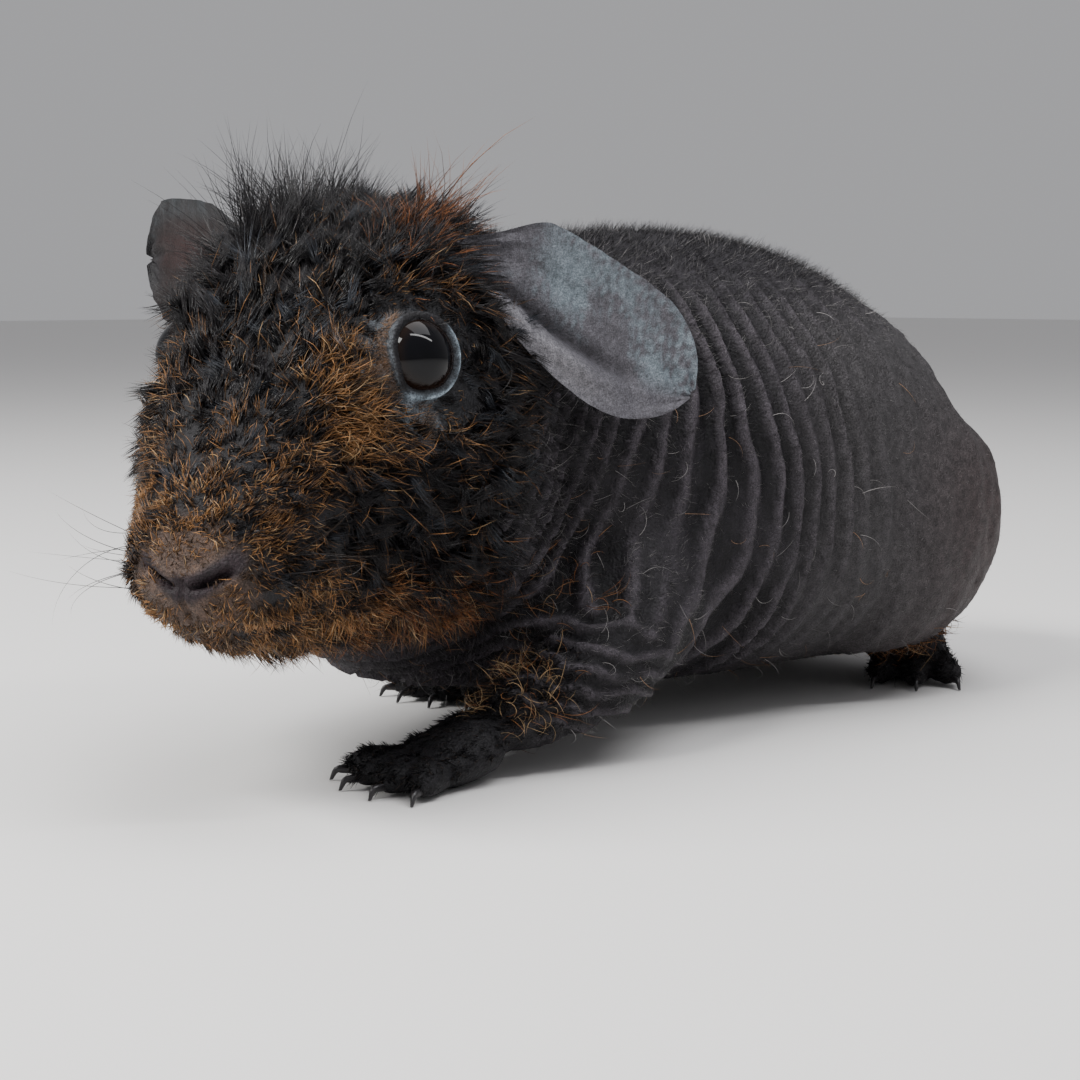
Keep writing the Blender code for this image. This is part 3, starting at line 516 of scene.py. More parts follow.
def fold_field(back, sideways, height, points):
    """Height of the folds from -1 in a valley to 1 on a crest, and how strong they are here."""
    table = np.linspace(0.010, LENGTH + 0.02, 600)
    phase = np.concatenate([[0], np.cumsum(1 / fold_spacing(table[1:]) * np.diff(table))])
    lean = -1.20 + 1.20 * ease(back, 0.044, 0.084)
    bent = 3.0 * (height - 0.030) ** 2 * ease(back, 0.060, 0.090)
    at = back + lean * (height - 0.030) + bent
    at = at + 0.0012 * waver(points, 0.036, 3) + 0.00030 * waver(points, 0.011, 4) + 0.004 * (sideways < 0)
    turns = np.interp(at, table, phase)
    wave = np.cos(2 * math.pi * turns)
    crest = 2 * ((1 + wave) / 2) ** 2.1 - 1
    fade = ease(height, 0.003, 0.010) * (1 - ease(height, 0.046, 0.056))
    low = 0.012 * (1 - ease(height, 0.028, 0.042))
    strong = fold_height(back + low * (back < 0.06)) * fade * (0.80 + 0.38 * waver(points, 0.018, 5))
    each = np.random.default_rng(8).uniform(0.60, 1.15, 80)
    strong = strong * each[np.clip(np.round(turns), 0, 79).astype(int)]
    return crest, np.maximum(strong, 0)


def elbow_field(points):
    """Narrow wrinkles that run back from the crook of each elbow, and how far they hold."""
    hold = np.zeros(len(points))
    for spot in ELBOW_CREASES:
        rel = points - (np.array(spot) + SHIFT)
        far = np.linalg.norm(rel * np.array((0.9, 0.75, 1.1)), axis=1)
        hold = np.maximum(hold, 1 - ease(far, 0.0055, 0.0100))
    along = points[:, 2] + 0.22 * points[:, 1] + 0.0005 * waver(points, 0.007, 41)
    return 2 * ((1 + np.cos(2 * math.pi * along / ELBOW_CREASE_SPACING)) / 2) ** 1.5 - 1, hold


def lid_shape(points, side):
    """Draws the skin round one eyeball: sunk under the ball, a rim on it, and a soft roll outside."""
    middle, look, ahead, up = eye_frame(side)
    rel = points - middle
    far = np.linalg.norm(rel, axis=1)
    way = rel / np.maximum(far, 1e-9)[:, None]
    # how far the direction leans from the eye's own, against the opening's edge
    lean = np.arccos(np.clip(way @ look, -1, 1))
    flat = np.maximum(np.hypot(way @ ahead, way @ up), 1e-9)
    a_way, u_way = way @ ahead / flat, way @ up / flat
    wide, tall = (math.asin(half / EYE_RADIUS) for half in LID_OPENING)
    a_flat, u_flat = lean * a_way + 0.08, lean * u_way
    rho = np.hypot(a_flat / wide, (u_flat - 0.10 * a_flat) / tall)
    rho = rho / (1 + 0.20 * hump(np.arctan2(u_flat, a_flat), -0.85, 0.45))
    rho = np.where((lean < 2.0) & (far < 0.0100), rho, 9)
    rim = EYE_RADIUS - 0.0010 + 0.00145 * ease(rho, 0.88, 1.02)
    roll = rim
    for at, width, rise in LID_ROLLS:
        roll = roll + rise * hump(rho, at, width)
    target = roll + (far - roll) * ease(rho, 1.10, 1.75)
    change = np.where(rho < 1.8, target, far)
    return middle + way * change[:, None], rho, u_flat / tall, a_flat / wide


def nose_pad(sideways, height):
    """Distance from the nearer nostril's slit, in the nose's front."""
    along = np.clip((np.abs(sideways) - 0.0008) / 0.0038, 0, 1)
    away = np.hypot(np.abs(sideways) - 0.0008 - 0.0038 * along, height - 0.0240 - 0.0024 * along**1.5)
    return away + 0.0005 * (sideways < -0.0010)


def face_cuts(back, sideways, height, points):
    """Depth of the nostrils, the groove of the lip and the line of the mouth."""
    push = np.zeros(len(points))
    for side in (1, -1):
        middle = place(NOSTRIL_PLACE[0], side * NOSTRIL_PLACE[1], NOSTRIL_PLACE[2])
        turn = np.array(Matrix.Rotation(HEAD_YAW, 3, "Z"))
        long_way = unit(turn @ np.array((side * 0.0014, 0.0005, 0.0011)))
        short_way = unit(turn @ np.array((-side * 0.25, 0.0, 0.6)))
        rel = points - middle
        along, over = rel @ long_way, rel @ short_way
        near_it = np.linalg.norm(rel, axis=1) < 0.005
        bowed = over - NOSTRIL_BOW * along**2
        slit = np.exp(-((along / NOSTRIL_HALF) ** 4) - bowed**2 / NOSTRIL_WIDTH**2)
        wing = np.exp(-((along / 0.0022) ** 4) - ((bowed - 0.0010) / 0.0006) ** 2)
        push += np.where(near_it, 0.00025 * wing - NOSTRIL_DEPTH * slit, 0)
    groove = LIP_GROOVE_DEPTH * hump(sideways, 0, LIP_GROOVE_WIDTH) * ease(height, 0.0175, 0.0190)
    push -= np.where((back < 0.012) & (height < 0.0250), groove, 0)
    share = np.clip((back - MOUTH_FRONT) / (MOUTH_CORNER - MOUTH_FRONT), 0, 1) ** (1 / 1.5)
    line = MOUTH_HEIGHT + 0.0012 * share**2
    here = ease(back, -0.001, 0.002) * (1 - ease(back, MOUTH_CORNER - 0.002, MOUTH_CORNER + 0.001))
    push -= MOUTH_DEPTH * here * hump(height, line, MOUTH_WIDTH)
    push += LIP_RISE * here * (hump(height, line - 0.0012, 0.0007) + hump(height, line + 0.0011, 0.0008))
    return push


def make_skin():
    mesh = body_mass()
    relax(mesh, 3, 0.5)
    relax(mesh, 45, lambda points: 0.6 * near(points, JOINTS))
    eyes = [eye_frame(side)[0] for side in (1, -1)]
    nose = place(0.0015, 0, 0.0225)
    toes = [(np.array(spot) + SHIFT, 0.0105) for spot in PAWS]
    finer(mesh, [(spot, 0.0082) for spot in eyes] + [(nose, 0.0085)] + toes)
    finer(mesh, [(spot, 0.0068) for spot in eyes] + [(nose, 0.0062)])
    points = points_of(mesh)
    normals = normals_of(mesh)
    back, sideways, height = from_spine(points)
    crest, strong = fold_field(back, sideways, height, points)
    small = waver(points * np.array((1, 1, 0.35)), 0.0028, 6) * 0.00009 + waver(points, 0.0014, 7) * 0.00005
    wrinkle, hold = elbow_field(points)
    crest, strong = crest * (1 - hold) + wrinkle * hold, strong * (1 - hold) + ELBOW_CREASE_HEIGHT * hold
    push = crest * strong + face_cuts(back, sideways, height, points)
    push += small * ease(back, 0.030, 0.045)
    points = points + normals * push[:, None]
    lids = np.full((len(points), 3), 9.0)
    for side in (1, -1):
        points, rho, over, ahead = lid_shape(points, side)
        lids = np.where((rho < 9)[:, None], np.stack([rho, over, ahead], axis=-1), lids)
    points[:, 2] = np.maximum(points[:, 2], SOLE_LIFT)
    set_points(mesh, points)
    return mesh, crest, strong, lids


def tone(mesh, colours):
    """Keeps a colour for every point of the mesh."""
    layer = mesh.attributes.new("tone", "FLOAT_COLOR", "POINT")
    flat = np.ones((len(mesh.vertices), 4), dtype=np.float32)
    flat[:, :3] = colours
    layer.data.foreach_set("color", flat.ravel())


def mix(first, second, share):
    return first + (np.asarray(second) - first) * np.asarray(share)[..., None]


# Materials

def shaded(name, roughness, specular):
    """A plain finish of this roughness and shine."""
    made = bpy.data.materials.new(name)
    made.use_nodes = True
    shader = made.node_tree.nodes["Principled BSDF"]
    shader.inputs["Roughness"].default_value = roughness
    shader.inputs["Specular IOR Level"].default_value = specular
    return made


def toned(made, grains, bumps=()):
    """Colour from the piece's own tones, varied by fine noise, with bumps of the given sizes."""
    tree = made.node_tree
    shader = tree.nodes["Principled BSDF"]
    place_in = tree.nodes.new("ShaderNodeTexCoord")
    colour = tree.nodes.new("ShaderNodeAttribute")
    colour.attribute_name = "tone"
    last = colour.outputs["Color"]
    for scale, low, high in grains:
        grain = tree.nodes.new("ShaderNodeTexNoise")
        grain.inputs["Scale"].default_value = scale
        grain.inputs["Detail"].default_value = 3
        tree.links.new(place_in.outputs["Object"], grain.inputs["Vector"])
        reach = tree.nodes.new("ShaderNodeMapRange")
        for socket, value in (("From Min", 0.32), ("From Max", 0.68), ("To Min", low), ("To Max", high)):
            reach.inputs[socket].default_value = value
        tree.links.new(grain.outputs["Fac"], reach.inputs["Value"])
        times = tree.nodes.new("ShaderNodeVectorMath")
        times.operation = "SCALE"
        tree.links.new(last, times.inputs[0])
        tree.links.new(reach.outputs["Result"], times.inputs["Scale"])
        last = times.outputs["Vector"]
    tree.links.new(last, shader.inputs["Base Color"])
    lean = None
    for kind, scale, strength in bumps:
        if kind == "cells":
            form = tree.nodes.new("ShaderNodeTexVoronoi")
            form.feature = "DISTANCE_TO_EDGE"
            out = form.outputs["Distance"]
        else:
            form = tree.nodes.new("ShaderNodeTexNoise")
            form.inputs["Detail"].default_value = 4
            out = form.outputs["Fac"]
        form.inputs["Scale"].default_value = scale
        tree.links.new(place_in.outputs["Object"], form.inputs["Vector"])
        bump = tree.nodes.new("ShaderNodeBump")
        bump.inputs["Strength"].default_value = strength
        bump.inputs["Distance"].default_value = 0.0006
        tree.links.new(out, bump.inputs["Height"])
        if lean:
            tree.links.new(lean, bump.inputs["Normal"])
        lean = bump.outputs["Normal"]
    if lean:
        tree.links.new(lean, shader.inputs["Normal"])
    return made


def skin_material():
    grains = ((900, 0.70, 1.4), (6500, 0.45, 1.9))
    return toned(shaded("bare_skin", 0.58, 0.26), grains, (("cells", 1700, 0.35), ("noise", 3500, 0.45)))


def ear_material():
    grains = ((1600, 0.75, 1.3), (6500, 0.60, 1.5))
    return toned(shaded("ear_skin", 0.60, 0.30), grains, (("cells", 2600, 0.3), ("noise", 4200, 0.35)))


def coat_material():
    return toned(shaded("wiry_coat", 0.33, 0.24), ((2500, 0.75, 1.3),))


def eye_material():
    made = toned(shaded("dark_eye", 0.04, 0.5), ((700, 0.8, 1.25),))
    made.node_tree.nodes["Principled BSDF"].inputs["IOR"].default_value = 1.29
    return made


def claw_material():
    return toned(shaded("claw_horn", 0.34, 0.5), ((2600, 0.8, 1.2),), (("noise", 3000, 0.15),))


# Eyes, ears and claws

PUPIL, IRIS = (0.0020, 0.0020, 0.0030), (0.0100, 0.0055, 0.0040)
EAR_GREY, EAR_SHEEN_BLUE, EAR_EDGE = (0.074, 0.071, 0.082), (0.135, 0.165, 0.188), (0.150, 0.146, 0.160)
EAR_CREASE_SHADE, EAR_INSIDE, EAR_GLOW = (0.020, 0.018, 0.022), (0.0060, 0.0021, 0.0022), (0.0240, 0.0065, 0.0058)
HORN = (0.020, 0.018, 0.020)


def make_eye(name, side, material):
    middle, look, ahead, up = eye_frame(side)

    def surface(share, angle):
        ring = EYE_RADIUS * np.sin(np.pi * share)
        front = EYE_RADIUS * np.cos(np.pi * share) + 0.00022 * np.exp(-((share / 0.16) ** 2))
        on_ring = (ring * np.cos(angle))[:, None] * ahead + (ring * np.sin(angle))[:, None] * up
        return middle + front[:, None] * look + on_ring

    mesh = globe(name, 48, 64, surface)
    rel = points_of(mesh) - middle
    off = np.hypot(rel @ ahead, rel @ up) / EYE_RADIUS
    tone(mesh, mix(np.array(PUPIL), IRIS, ease(off, 0.50, 0.75)))
    return piece(name, mesh, material)


def ear_frame(side):
    turn = Matrix.Rotation(HEAD_YAW, 3, "Z")
    back, sideways, height = EAR_ROOT
    root = Vector(place(back, side * sideways, height - (0 if side > 0 else RIGHT_EAR_LOWER)))
    along = (turn @ Vector((0.690, 0.520, -0.580) if side > 0 else (-0.77, 0.57, 0.02))).normalized()
    if side < 0:
        root -= along * RIGHT_EAR_DEEPER
    cup = turn @ Vector((0.66, -0.72, 0.09) if side > 0 else (-0.46, -0.86, -0.05))
    cup = (cup - along * cup.dot(along)).normalized()
    upper = along.cross(cup) * side
    if upper.z < 0:
        upper.negate()
    return tuple(np.array(v) for v in (root, along, upper, cup))


def make_ear(name, side, material):
    root, along, upper, cup = ear_frame(side)
    inwards = np.array(Matrix.Rotation(HEAD_YAW, 3, "Z") @ Vector((-0.6 * side, 0, -0.8)))
    kept = {}

    def surface(share, angle):
        span = 0.5 - 0.5 * np.cos(np.pi * share)
        edge = np.cos(angle) * ((share > 1e-4) & (share < 1 - 1e-4))
        half = EAR_BREADTH / 2 * ear_line(span)
        wall = EAR_THICKNESS / 2 * (1 - 0.25 * span) * np.sqrt(np.maximum(1 - edge**6, 0))
        face = np.copysign(np.minimum(np.abs(np.sin(angle)) * 1.7, 1), np.sin(angle))
        wall = wall * (share > 0) * (share < 1) * face
        bend = 0.0024 * edge * edge * (1 - 0.5 * span)
        roll = 0.0030 * np.maximum(-edge - 0.35, 0) ** 2 * (1 - span)
        droop = 0.0016 * span * span
        inner = np.sin(angle) > 0
        fold_at = -0.36 + 0.35 * (span - 0.5)
        crease = -0.0011 * hump(edge, fold_at, 0.13) * ease(span, 0.10, 0.3) * (1 - ease(span, 0.72, 0.9))
        lobe = 0.0013 * hump(edge, fold_at - 0.30, 0.22) * (1 - ease(span, 0.55, 0.85)) * inner
        spot = np.stack([span * 0.03, edge * 0.0075], axis=-1)
        ripple = 0.00016 * waver(spot, 0.0042, 21) + 0.00006 * waver(spot, 0.0014, 22)
        kept["span"], kept["edge"], kept["inner"] = span, edge, inner
        lift = bend + roll + crease + lobe + ripple + wall
        return (
            root
            + along * (EAR_LENGTH * span)[:, None]
            + inwards * (EAR_SINK * (1 - ease(span, 0.0, 0.30)))[:, None]
            + upper * (half * edge - 0.0014 * np.sin(np.pi * span) - droop)[:, None]
            + cup * lift[:, None]
        )

    mesh = globe(name, 110, 96, surface)
    span, edge, inner = kept["span"], kept["edge"], kept["inner"]
    points = points_of(mesh)
    # the bluish patches on the inner face are a painted velvety sheen
    blue_sheen = 0.8 * waver(points, 0.010, 31) + 0.35 * waver(points, 0.0024, 32)
    blue_sheen += 0.45 * waver(points, 0.0008, 33)
    blue_sheen = 0.9 * ease(blue_sheen, -0.3, 1.2) * inner * ease(edge, -0.5, 0.1) * ease(span, 0.15, 0.45)
    # painted shade darkens the ear's crease
    folded = 0.85 * hump(edge, -0.36 + 0.35 * (span - 0.5), 0.10) * (1 - ease(span, 0.6, 0.9)) * inner
    base = mix(np.array(EAR_GREY), EAR_SHEEN_BLUE, blue_sheen)
    base = mix(base, EAR_EDGE, hump(edge, -0.80, 0.30) * (1 - ease(span, 0.55, 0.85)) * inner)
    base = mix(base, EAR_CREASE_SHADE, folded)
    if side < 0:
        inside = inner * (1 - ease(edge, 0.55, 0.85)) * (1 - ease(span, 0.86, 0.97))
        base = mix(base * 0.16, EAR_INSIDE, inside)
        base = mix(base, EAR_GLOW, inner * hump(edge, 0.10, 0.40) * hump(span, 0.60, 0.25) * 0.9)
    tone(mesh, base)
    return piece(name, mesh, material)


def make_claws(material):
    forms = []
    for limb in LIMBS.values():
        for _, _, tip, out in toe_lines(limb):
            top = tip + Vector((0, 0, 0.0002))
            end = tip + out * CLAW_LENGTH * 0.92 - Vector((0, 0, 0.0012))
            stations = (
                (top - out * 0.0010, CLAW_RADIUS, CLAW_RADIUS * 1.1),
                (top + out * (CLAW_LENGTH * 0.45), CLAW_RADIUS * 0.75, CLAW_RADIUS * 0.8),
                (end, CLAW_RADIUS * 0.25, CLAW_RADIUS * 0.25),
            )
            forms.append(tube("claw", stations, 14, 12))
    mesh = joined("claws", forms)
    points = points_of(mesh)
    points[:, 2] = np.maximum(points[:, 2], SOLE_LIFT)
    set_points(mesh, points)
    tone(mesh, HORN)
    return piece("claws", mesh, material)


# The skin's tones

SKIN_DARK, VALLEY_SHADE, CREST_HIGHLIGHT = (0.0175, 0.0150, 0.0185), (0.0030, 0.0025, 0.0036), (0.0450, 0.0390, 0.0460)
REAR_GREY, RUMP_PLUM, BACK_PAINTED_SHADE = (0.0330, 0.0310, 0.0320), (0.0350, 0.0230, 0.0225), (0.0085, 0.0075, 0.0095)
UNDER_COAT_SKIN, PAW_DARK = (0.0050, 0.0045, 0.0055), (0.0075, 0.0070, 0.0085)
NOSE_BROWN, NOSTRIL_PAD = (0.0480, 0.0300, 0.0220), (0.0130, 0.0080, 0.0100)
LID_DUSTY, LID_EDGE, LID_RIM_HIGHLIGHT = (0.0680, 0.0760, 0.0860), (0.0065, 0.0060, 0.0075), (0.3000, 0.3700, 0.4300)


def skin_tones(mesh, crest, strong, lids):
    points = points_of(mesh)
    back, sideways, height = from_spine(points)
    share = np.clip(strong / 0.0006, 0, 1)
    neck = 0.45 * (1 - ease(back, 0.056, 0.080))
    base = np.array(SKIN_DARK) * (1 - neck)[:, None]
    # painted shade darkens the fold valleys and a painted highlight lightens the fold crests
    base = mix(base, VALLEY_SHADE, ease(-crest, -0.30, 0.60) * share)
    base = mix(base, CREST_HIGHLIGHT, ease(crest, -0.10, 0.90) * share)
    base = mix(base, REAR_GREY, ease(back, 0.078, 0.100) * (1 - ease(height, 0.044, 0.056)) * 0.75)
    base = mix(base, RUMP_PLUM, 0.85 * ease(back, 0.098, 0.128) * (1 - ease(height, 0.022, 0.045)))
    # painted shade darkens the top of the back, set against the top lamp's light
    base = mix(base, BACK_PAINTED_SHADE, 0.75 * ease(height, 0.046, 0.058))
    base = mix(base, UNDER_COAT_SKIN, 0.9 * (1 - ease(back, 0.026, 0.040)))
    base = mix(base, PAW_DARK, 0.9 * near(points, [(spot, 0.014) for spot in PAWS]))
    # the nose and the short-haired front of the muzzle
    from_nose = np.linalg.norm(points - place(0.0006, 0, 0.0240), axis=1)
    base = mix(base, NOSE_BROWN, 1 - ease(from_nose, 0.0050, 0.0085))
    base = mix(base, NOSTRIL_PAD, (back < 0.006) * (1 - ease(nose_pad(sideways, height), 0.0009, 0.0019)))
    # bare skin round the left eye, with a pale bluish painted highlight along the wet lid edge below and
    # behind
    rho, over, ahead = lids.T
    left = (sideways > 0) * (0.8 + 0.3 * waver(points, 0.0011, 61))
    front = ease(ahead * 0.8 - over * 0.3, -0.1, 0.8)
    low = ease(-over * 0.75 - ahead * 0.65, -0.05, 0.35)
    base = mix(base, LID_DUSTY, (1 - ease(rho, 1.45, 1.80)) * (0.08 + 0.92 * front) * left)
    base = mix(base, LID_EDGE, 1 - ease(rho, 1.03, 1.10))
    return mix(base, LID_RIM_HIGHLIGHT, np.clip(hump(rho, 1.10, 0.070) * low * left, 0, 1))


# The coat

DARK_HAIR = np.array((0.0042, 0.0037, 0.0046))
BROWN_HAIR = np.array((0.030, 0.0185, 0.0120))
GOLD_HAIR = np.array((0.250, 0.122, 0.046))
RUST_HAIR = np.array((0.210, 0.078, 0.029))
STRAW_HAIR = np.array((0.370, 0.255, 0.135))
# bluish grey standing in for painted sheen on black hair
SHEEN_BLUE_HAIR = np.array((0.030, 0.035, 0.044))
PALE_HAIR = np.array((0.300, 0.285, 0.280))
NOSE_HAIR, NOSE_ROOT = (0.130, 0.075, 0.042), (0.048, 0.029, 0.020)
ARM_CURLS = (((0.0185, -0.0220, 0.0170), 0.0105), ((-0.0190, 0.0085, 0.0140), 0.0070))  # spot, radius
WRIST_CURLS = (((0.0232, -0.0300, 0.0085), 0.0070), ((-0.0175, 0.0040, 0.0080), 0.0060))
WRIST_STRAW = (((0.0232, -0.0300, 0.0085), 0.0090), ((-0.0175, 0.0040, 0.0080), 0.0080))
HEEL_CURLS = (((0.0215, 0.0400, 0.0080), 0.0075), ((-0.0215, 0.0400, 0.0080), 0.0075))
WRIST_COAT = ((0.0232, -0.0290, 0.0070), 0.0100)
FLOOR_GAP = 0.0002  # no hair goes below this height
GOLD_MARKS = (  # golden and rusty places of the face: (back, sideways, height), radius, strength
    ((0.0160, 0.0094, 0.0460), 0.0024, 0.75), ((0.0135, 0.0098, 0.0425), 0.0034, 1.00),
    ((0.0138, 0.0112, 0.0380), 0.0034, 0.95), ((0.0105, 0.0090, 0.0360), 0.0030, 0.55),
    ((0.0215, 0.0095, 0.0530), 0.0016, 0.80), ((0.0250, 0.0115, 0.0528), 0.0016, 0.90),
    ((0.0285, 0.0140, 0.0515), 0.0016, 0.75), ((0.0175, 0.0140, 0.0385), 0.0022, 0.60),
    ((0.0250, 0.0165, 0.0385), 0.0016, 0.45), ((0.0030, 0.0000, 0.0315), 0.0050, 0.80),
    ((0.0020, 0.0050, 0.0205), 0.0042, 0.70), ((0.0060, 0.0070, 0.0190), 0.0045, 0.85),
    ((0.0045, 0.0062, 0.0300), 0.0045, 0.80), ((0.0100, 0.0095, 0.0225), 0.0036, 0.55),
    ((0.0160, 0.0100, 0.0175), 0.0042, 0.90), ((0.0230, 0.0095, 0.0155), 0.0038, 0.90),
    ((0.0060, 0.0080, 0.0345), 0.0045, 0.55), ((0.0060, 0.0020, 0.0380), 0.0045, 0.40),
    ((0.0370, 0.0110, 0.0580), 0.0026, 0.90), ((0.0190, 0.0100, 0.0205), 0.0034, 0.90),
    ((0.0255, 0.0115, 0.0193), 0.0034, 0.95), ((0.0315, 0.0120, 0.0182), 0.0032, 0.90),
    ((0.0080, 0.0050, 0.0165), 0.0045, 0.90), ((0.0140, 0.0060, 0.0155), 0.0048, 0.95),
    ((0.0210, 0.0070, 0.0150), 0.0045, 0.90),
)


def hair_form(rings):
    """One three-sided tapering hair: each point's share of the length and turn round it, and the faces."""
    bm = bmesh.new()
    bmesh.ops.create_cone(bm, cap_ends=True, segments=3, radius1=1, radius2=0, depth=1)
    bmesh.ops.translate(bm, vec=(0, 0, 0.5), verts=bm.verts)
    bmesh.ops.remove_doubles(bm, verts=bm.verts, dist=1e-4)
    for i in range(1, rings):
        geom = bm.verts[:] + bm.edges[:] + bm.faces[:]
        bmesh.ops.bisect_plane(bm, geom=geom, plane_co=(0, 0, i / rings), plane_no=(0, 0, 1))
    bmesh.ops.triangulate(bm, faces=bm.faces)
    bmesh.ops.recalc_face_normals(bm, faces=bm.faces)
    bm.verts.index_update()
    co = np.array([vertex.co for vertex in bm.verts])
    faces = np.array([[vertex.index for vertex in face.verts] for face in bm.faces])
    bm.free()
    return np.clip(co[:, 2], 0, 1), np.arctan2(co[:, 1], co[:, 0]), faces


def grow(name, hairs, rings, material):
    """Sets the hair form on every root, bent along its own path, as one mesh."""
    share, turn, faces = hair_form(rings)
    levels, level_of = np.unique(np.round(share, 4), return_inverse=True)
    root, out, lie = hairs["root"], hairs["out"], hairs["lie"]
    count, size = len(root), len(share)
    side = np.cross(out, lie)
    rise = hairs["lift"][:, None] * (1 - hairs["bend"][:, None] * levels)
    yaw = hairs["curl"][:, None] * levels
    way = (
        out[:, None] * np.sin(rise)[..., None]
        + lie[:, None] * (np.cos(rise) * np.cos(yaw))[..., None]
        + side[:, None] * (np.cos(rise) * np.sin(yaw))[..., None]
    )
    step = np.diff(levels)[None, :, None] * hairs["length"][:, None, None]
    gone = np.cumsum((way[:, 1:] + way[:, :-1]) / 2 * step, axis=1)
    path = np.concatenate([np.zeros((count, 1, 3)), gone], axis=1)
    path += (root - out * hairs["sunk"][:, None])[:, None]
    first = unit(np.cross(way, (side + 0.3 * out)[:, None]))
    second = np.cross(way, first)
    radius = hairs["breadth"][:, None] / 2 * (1 - levels**1.7)
    points = path[:, level_of] + radius[:, level_of, None] * (
        first[:, level_of] * np.cos(turn)[:, None] + second[:, level_of] * np.sin(turn)[:, None]
    )
    points[..., 2] = np.maximum(points[..., 2], FLOOR_GAP)
    toned_to = np.tile(ease(share, hairs["from"], 0.75), (count, 1))
    colours = mix(hairs["low"][:, None], hairs["tip"][:, None], toned_to)
    mesh = bpy.data.meshes.new(name)
    all_faces = (faces[None] + (np.arange(count) * size)[:, None, None]).reshape(-1, 3)
    mesh.vertices.add(count * size)
    mesh.loops.add(len(all_faces) * 3)
    mesh.polygons.add(len(all_faces))
    mesh.vertices.foreach_set("co", points.reshape(-1))
    mesh.loops.foreach_set("vertex_index", all_faces.ravel())
    mesh.polygons.foreach_set("loop_start", np.arange(0, len(all_faces) * 3, 3))
    mesh.update(calc_edges=True)
    tone(mesh, colours.reshape(-1, 3))
    back, sideways, height = from_spine(root)
    round_it = np.arctan2(height - widest_line(back), sideways) / (2 * math.pi) + 0.5
    patch = np.stack([0.03 + 0.94 * np.clip(back / LENGTH, 0, 1), 0.03 + 0.94 * round_it], axis=-1)
    uv = patch[:, None] + 0.003 * np.stack([0.5 * np.cos(turn) * (1 - share), share - 0.5], axis=-1)[None]
    layer = mesh.uv_layers.new(name="OFBake")
    layer.data.foreach_set("uv", uv.reshape(-1, 2)[all_faces.ravel()].ravel())
    made = piece(name, mesh, material)
    return made


def sow(skin, weight, count, seed, locks=0, lock_length=0.0):
    """Roots spread over the skin where weight allows, with the way out and the way the coat lies.

    With locks, the hairs lean together into that many locks of about the given length.
    """
    draw = np.random.default_rng(seed)
    mesh = skin.data
    mesh.calc_loop_triangles()
    corners = np.empty(len(mesh.loop_triangles) * 3, dtype=int)
    mesh.loop_triangles.foreach_get("vertices", corners)
    corners = corners.reshape(-1, 3)
    points, normals = points_of(mesh), normals_of(mesh)
    trio = points[corners]
    area = np.linalg.norm(np.cross(trio[:, 1] - trio[:, 0], trio[:, 2] - trio[:, 0]), axis=1) / 2
    likely = area * np.maximum(weight[corners].mean(axis=1), 0)
    chosen = draw.choice(len(corners), size=count, p=likely / likely.sum())
    a, b = draw.random(count), draw.random(count)
    over = a + b > 1
    a, b = np.where(over, 1 - a, a), np.where(over, 1 - b, b)
    parts = np.stack([1 - a - b, a, b], axis=-1)[..., None]
    root = (trio[chosen] * parts).sum(axis=1)
    out = unit((normals[corners[chosen]] * parts).sum(axis=1))
    back, sideways, height = from_spine(root)
    angle = heading(np.clip(back, 0, LENGTH))
    rear = np.stack([-np.sin(angle), np.cos(angle), np.zeros(count)], axis=-1)
    lie = rear + np.array((0, 0, -0.45)) * ease(np.abs(sideways), 0.004, 0.014)[:, None]
    swirl = 0.80 * waver(root, 0.006, seed + 1) + 0.45 * waver(root, 0.0022, seed + 2)
    swirl += draw.normal(0, 0.40, count)
    lie = unit(lie - out * (lie * out).sum(axis=1)[:, None])
    lie = unit(lie * np.cos(swirl)[:, None] + np.cross(out, lie) * np.sin(swirl)[:, None])
    lock = np.arange(count)
    if locks:
        tree = KDTree(locks)
        for i in range(locks):
            tree.insert(root[i], i)
        tree.balance()
        lock = np.array([tree.find(point)[1] for point in root])
        pull = (root[lock] + lie[lock] * lock_length - root) / lock_length
        pull -= out * (pull * out).sum(axis=1)[:, None]
        lie = unit(0.85 * pull + 0.35 * lie[lock] + 0.12 * lie)
        lie = unit(lie - out * (lie * out).sum(axis=1)[:, None])
    return draw, {"root": root, "out": out, "lie": lie, "lock": lock}, back, sideways, height


def marked(back, sideways, height, root):
    """How golden the coat is here, from 0 to 1."""
    gold = np.full(len(back), 0.020)
    for (at_back, at_side, at_height), radius, strength in GOLD_MARKS:
        away = (back - at_back) ** 2 + (np.abs(sideways) - at_side) ** 2 + (height - at_height) ** 2
        faint = np.where((sideways < 0) & (at_height > 0.036), 0.35, 1)
        gold = np.maximum(gold, faint * strength * np.exp(-away / radius**2))
    return np.clip(gold * (1 + 0.45 * waver(root, 0.0035, 51)), 0, 1)


def beside_eyes(root):
    """Share of the length that hairs keep close to the eyes, so that none lies over them."""
    left, right = (np.linalg.norm(root - eye_frame(side)[0], axis=1) for side in (1, -1))
    return np.minimum(0.30 + 0.70 * ease(left, 0.0060, 0.0092), 0.85 + 0.15 * ease(right, 0.0060, 0.0092))


def grow_parts(name, hairs, parts, rings, material):
    """Grows the hairs as this many pieces, front to back."""
    order = np.argsort(from_spine(hairs["root"])[0])
    for i, some in enumerate(np.array_split(order, parts)):
        share = {key: kept[some] if isinstance(kept, np.ndarray) else kept for key, kept in hairs.items()}
        grow(f"{name}_{i + 1}", share, rings, material)


def head_area(back, height):
    """1 over the head, fading to 0 down the neck."""
    edge = 0.0270 + 0.80 * np.clip(height - 0.030, 0, 0.03) + 0.75 * np.clip(0.027 - height, 0, 0.010)
    return 1 - ease(back, edge, edge + 0.0095)


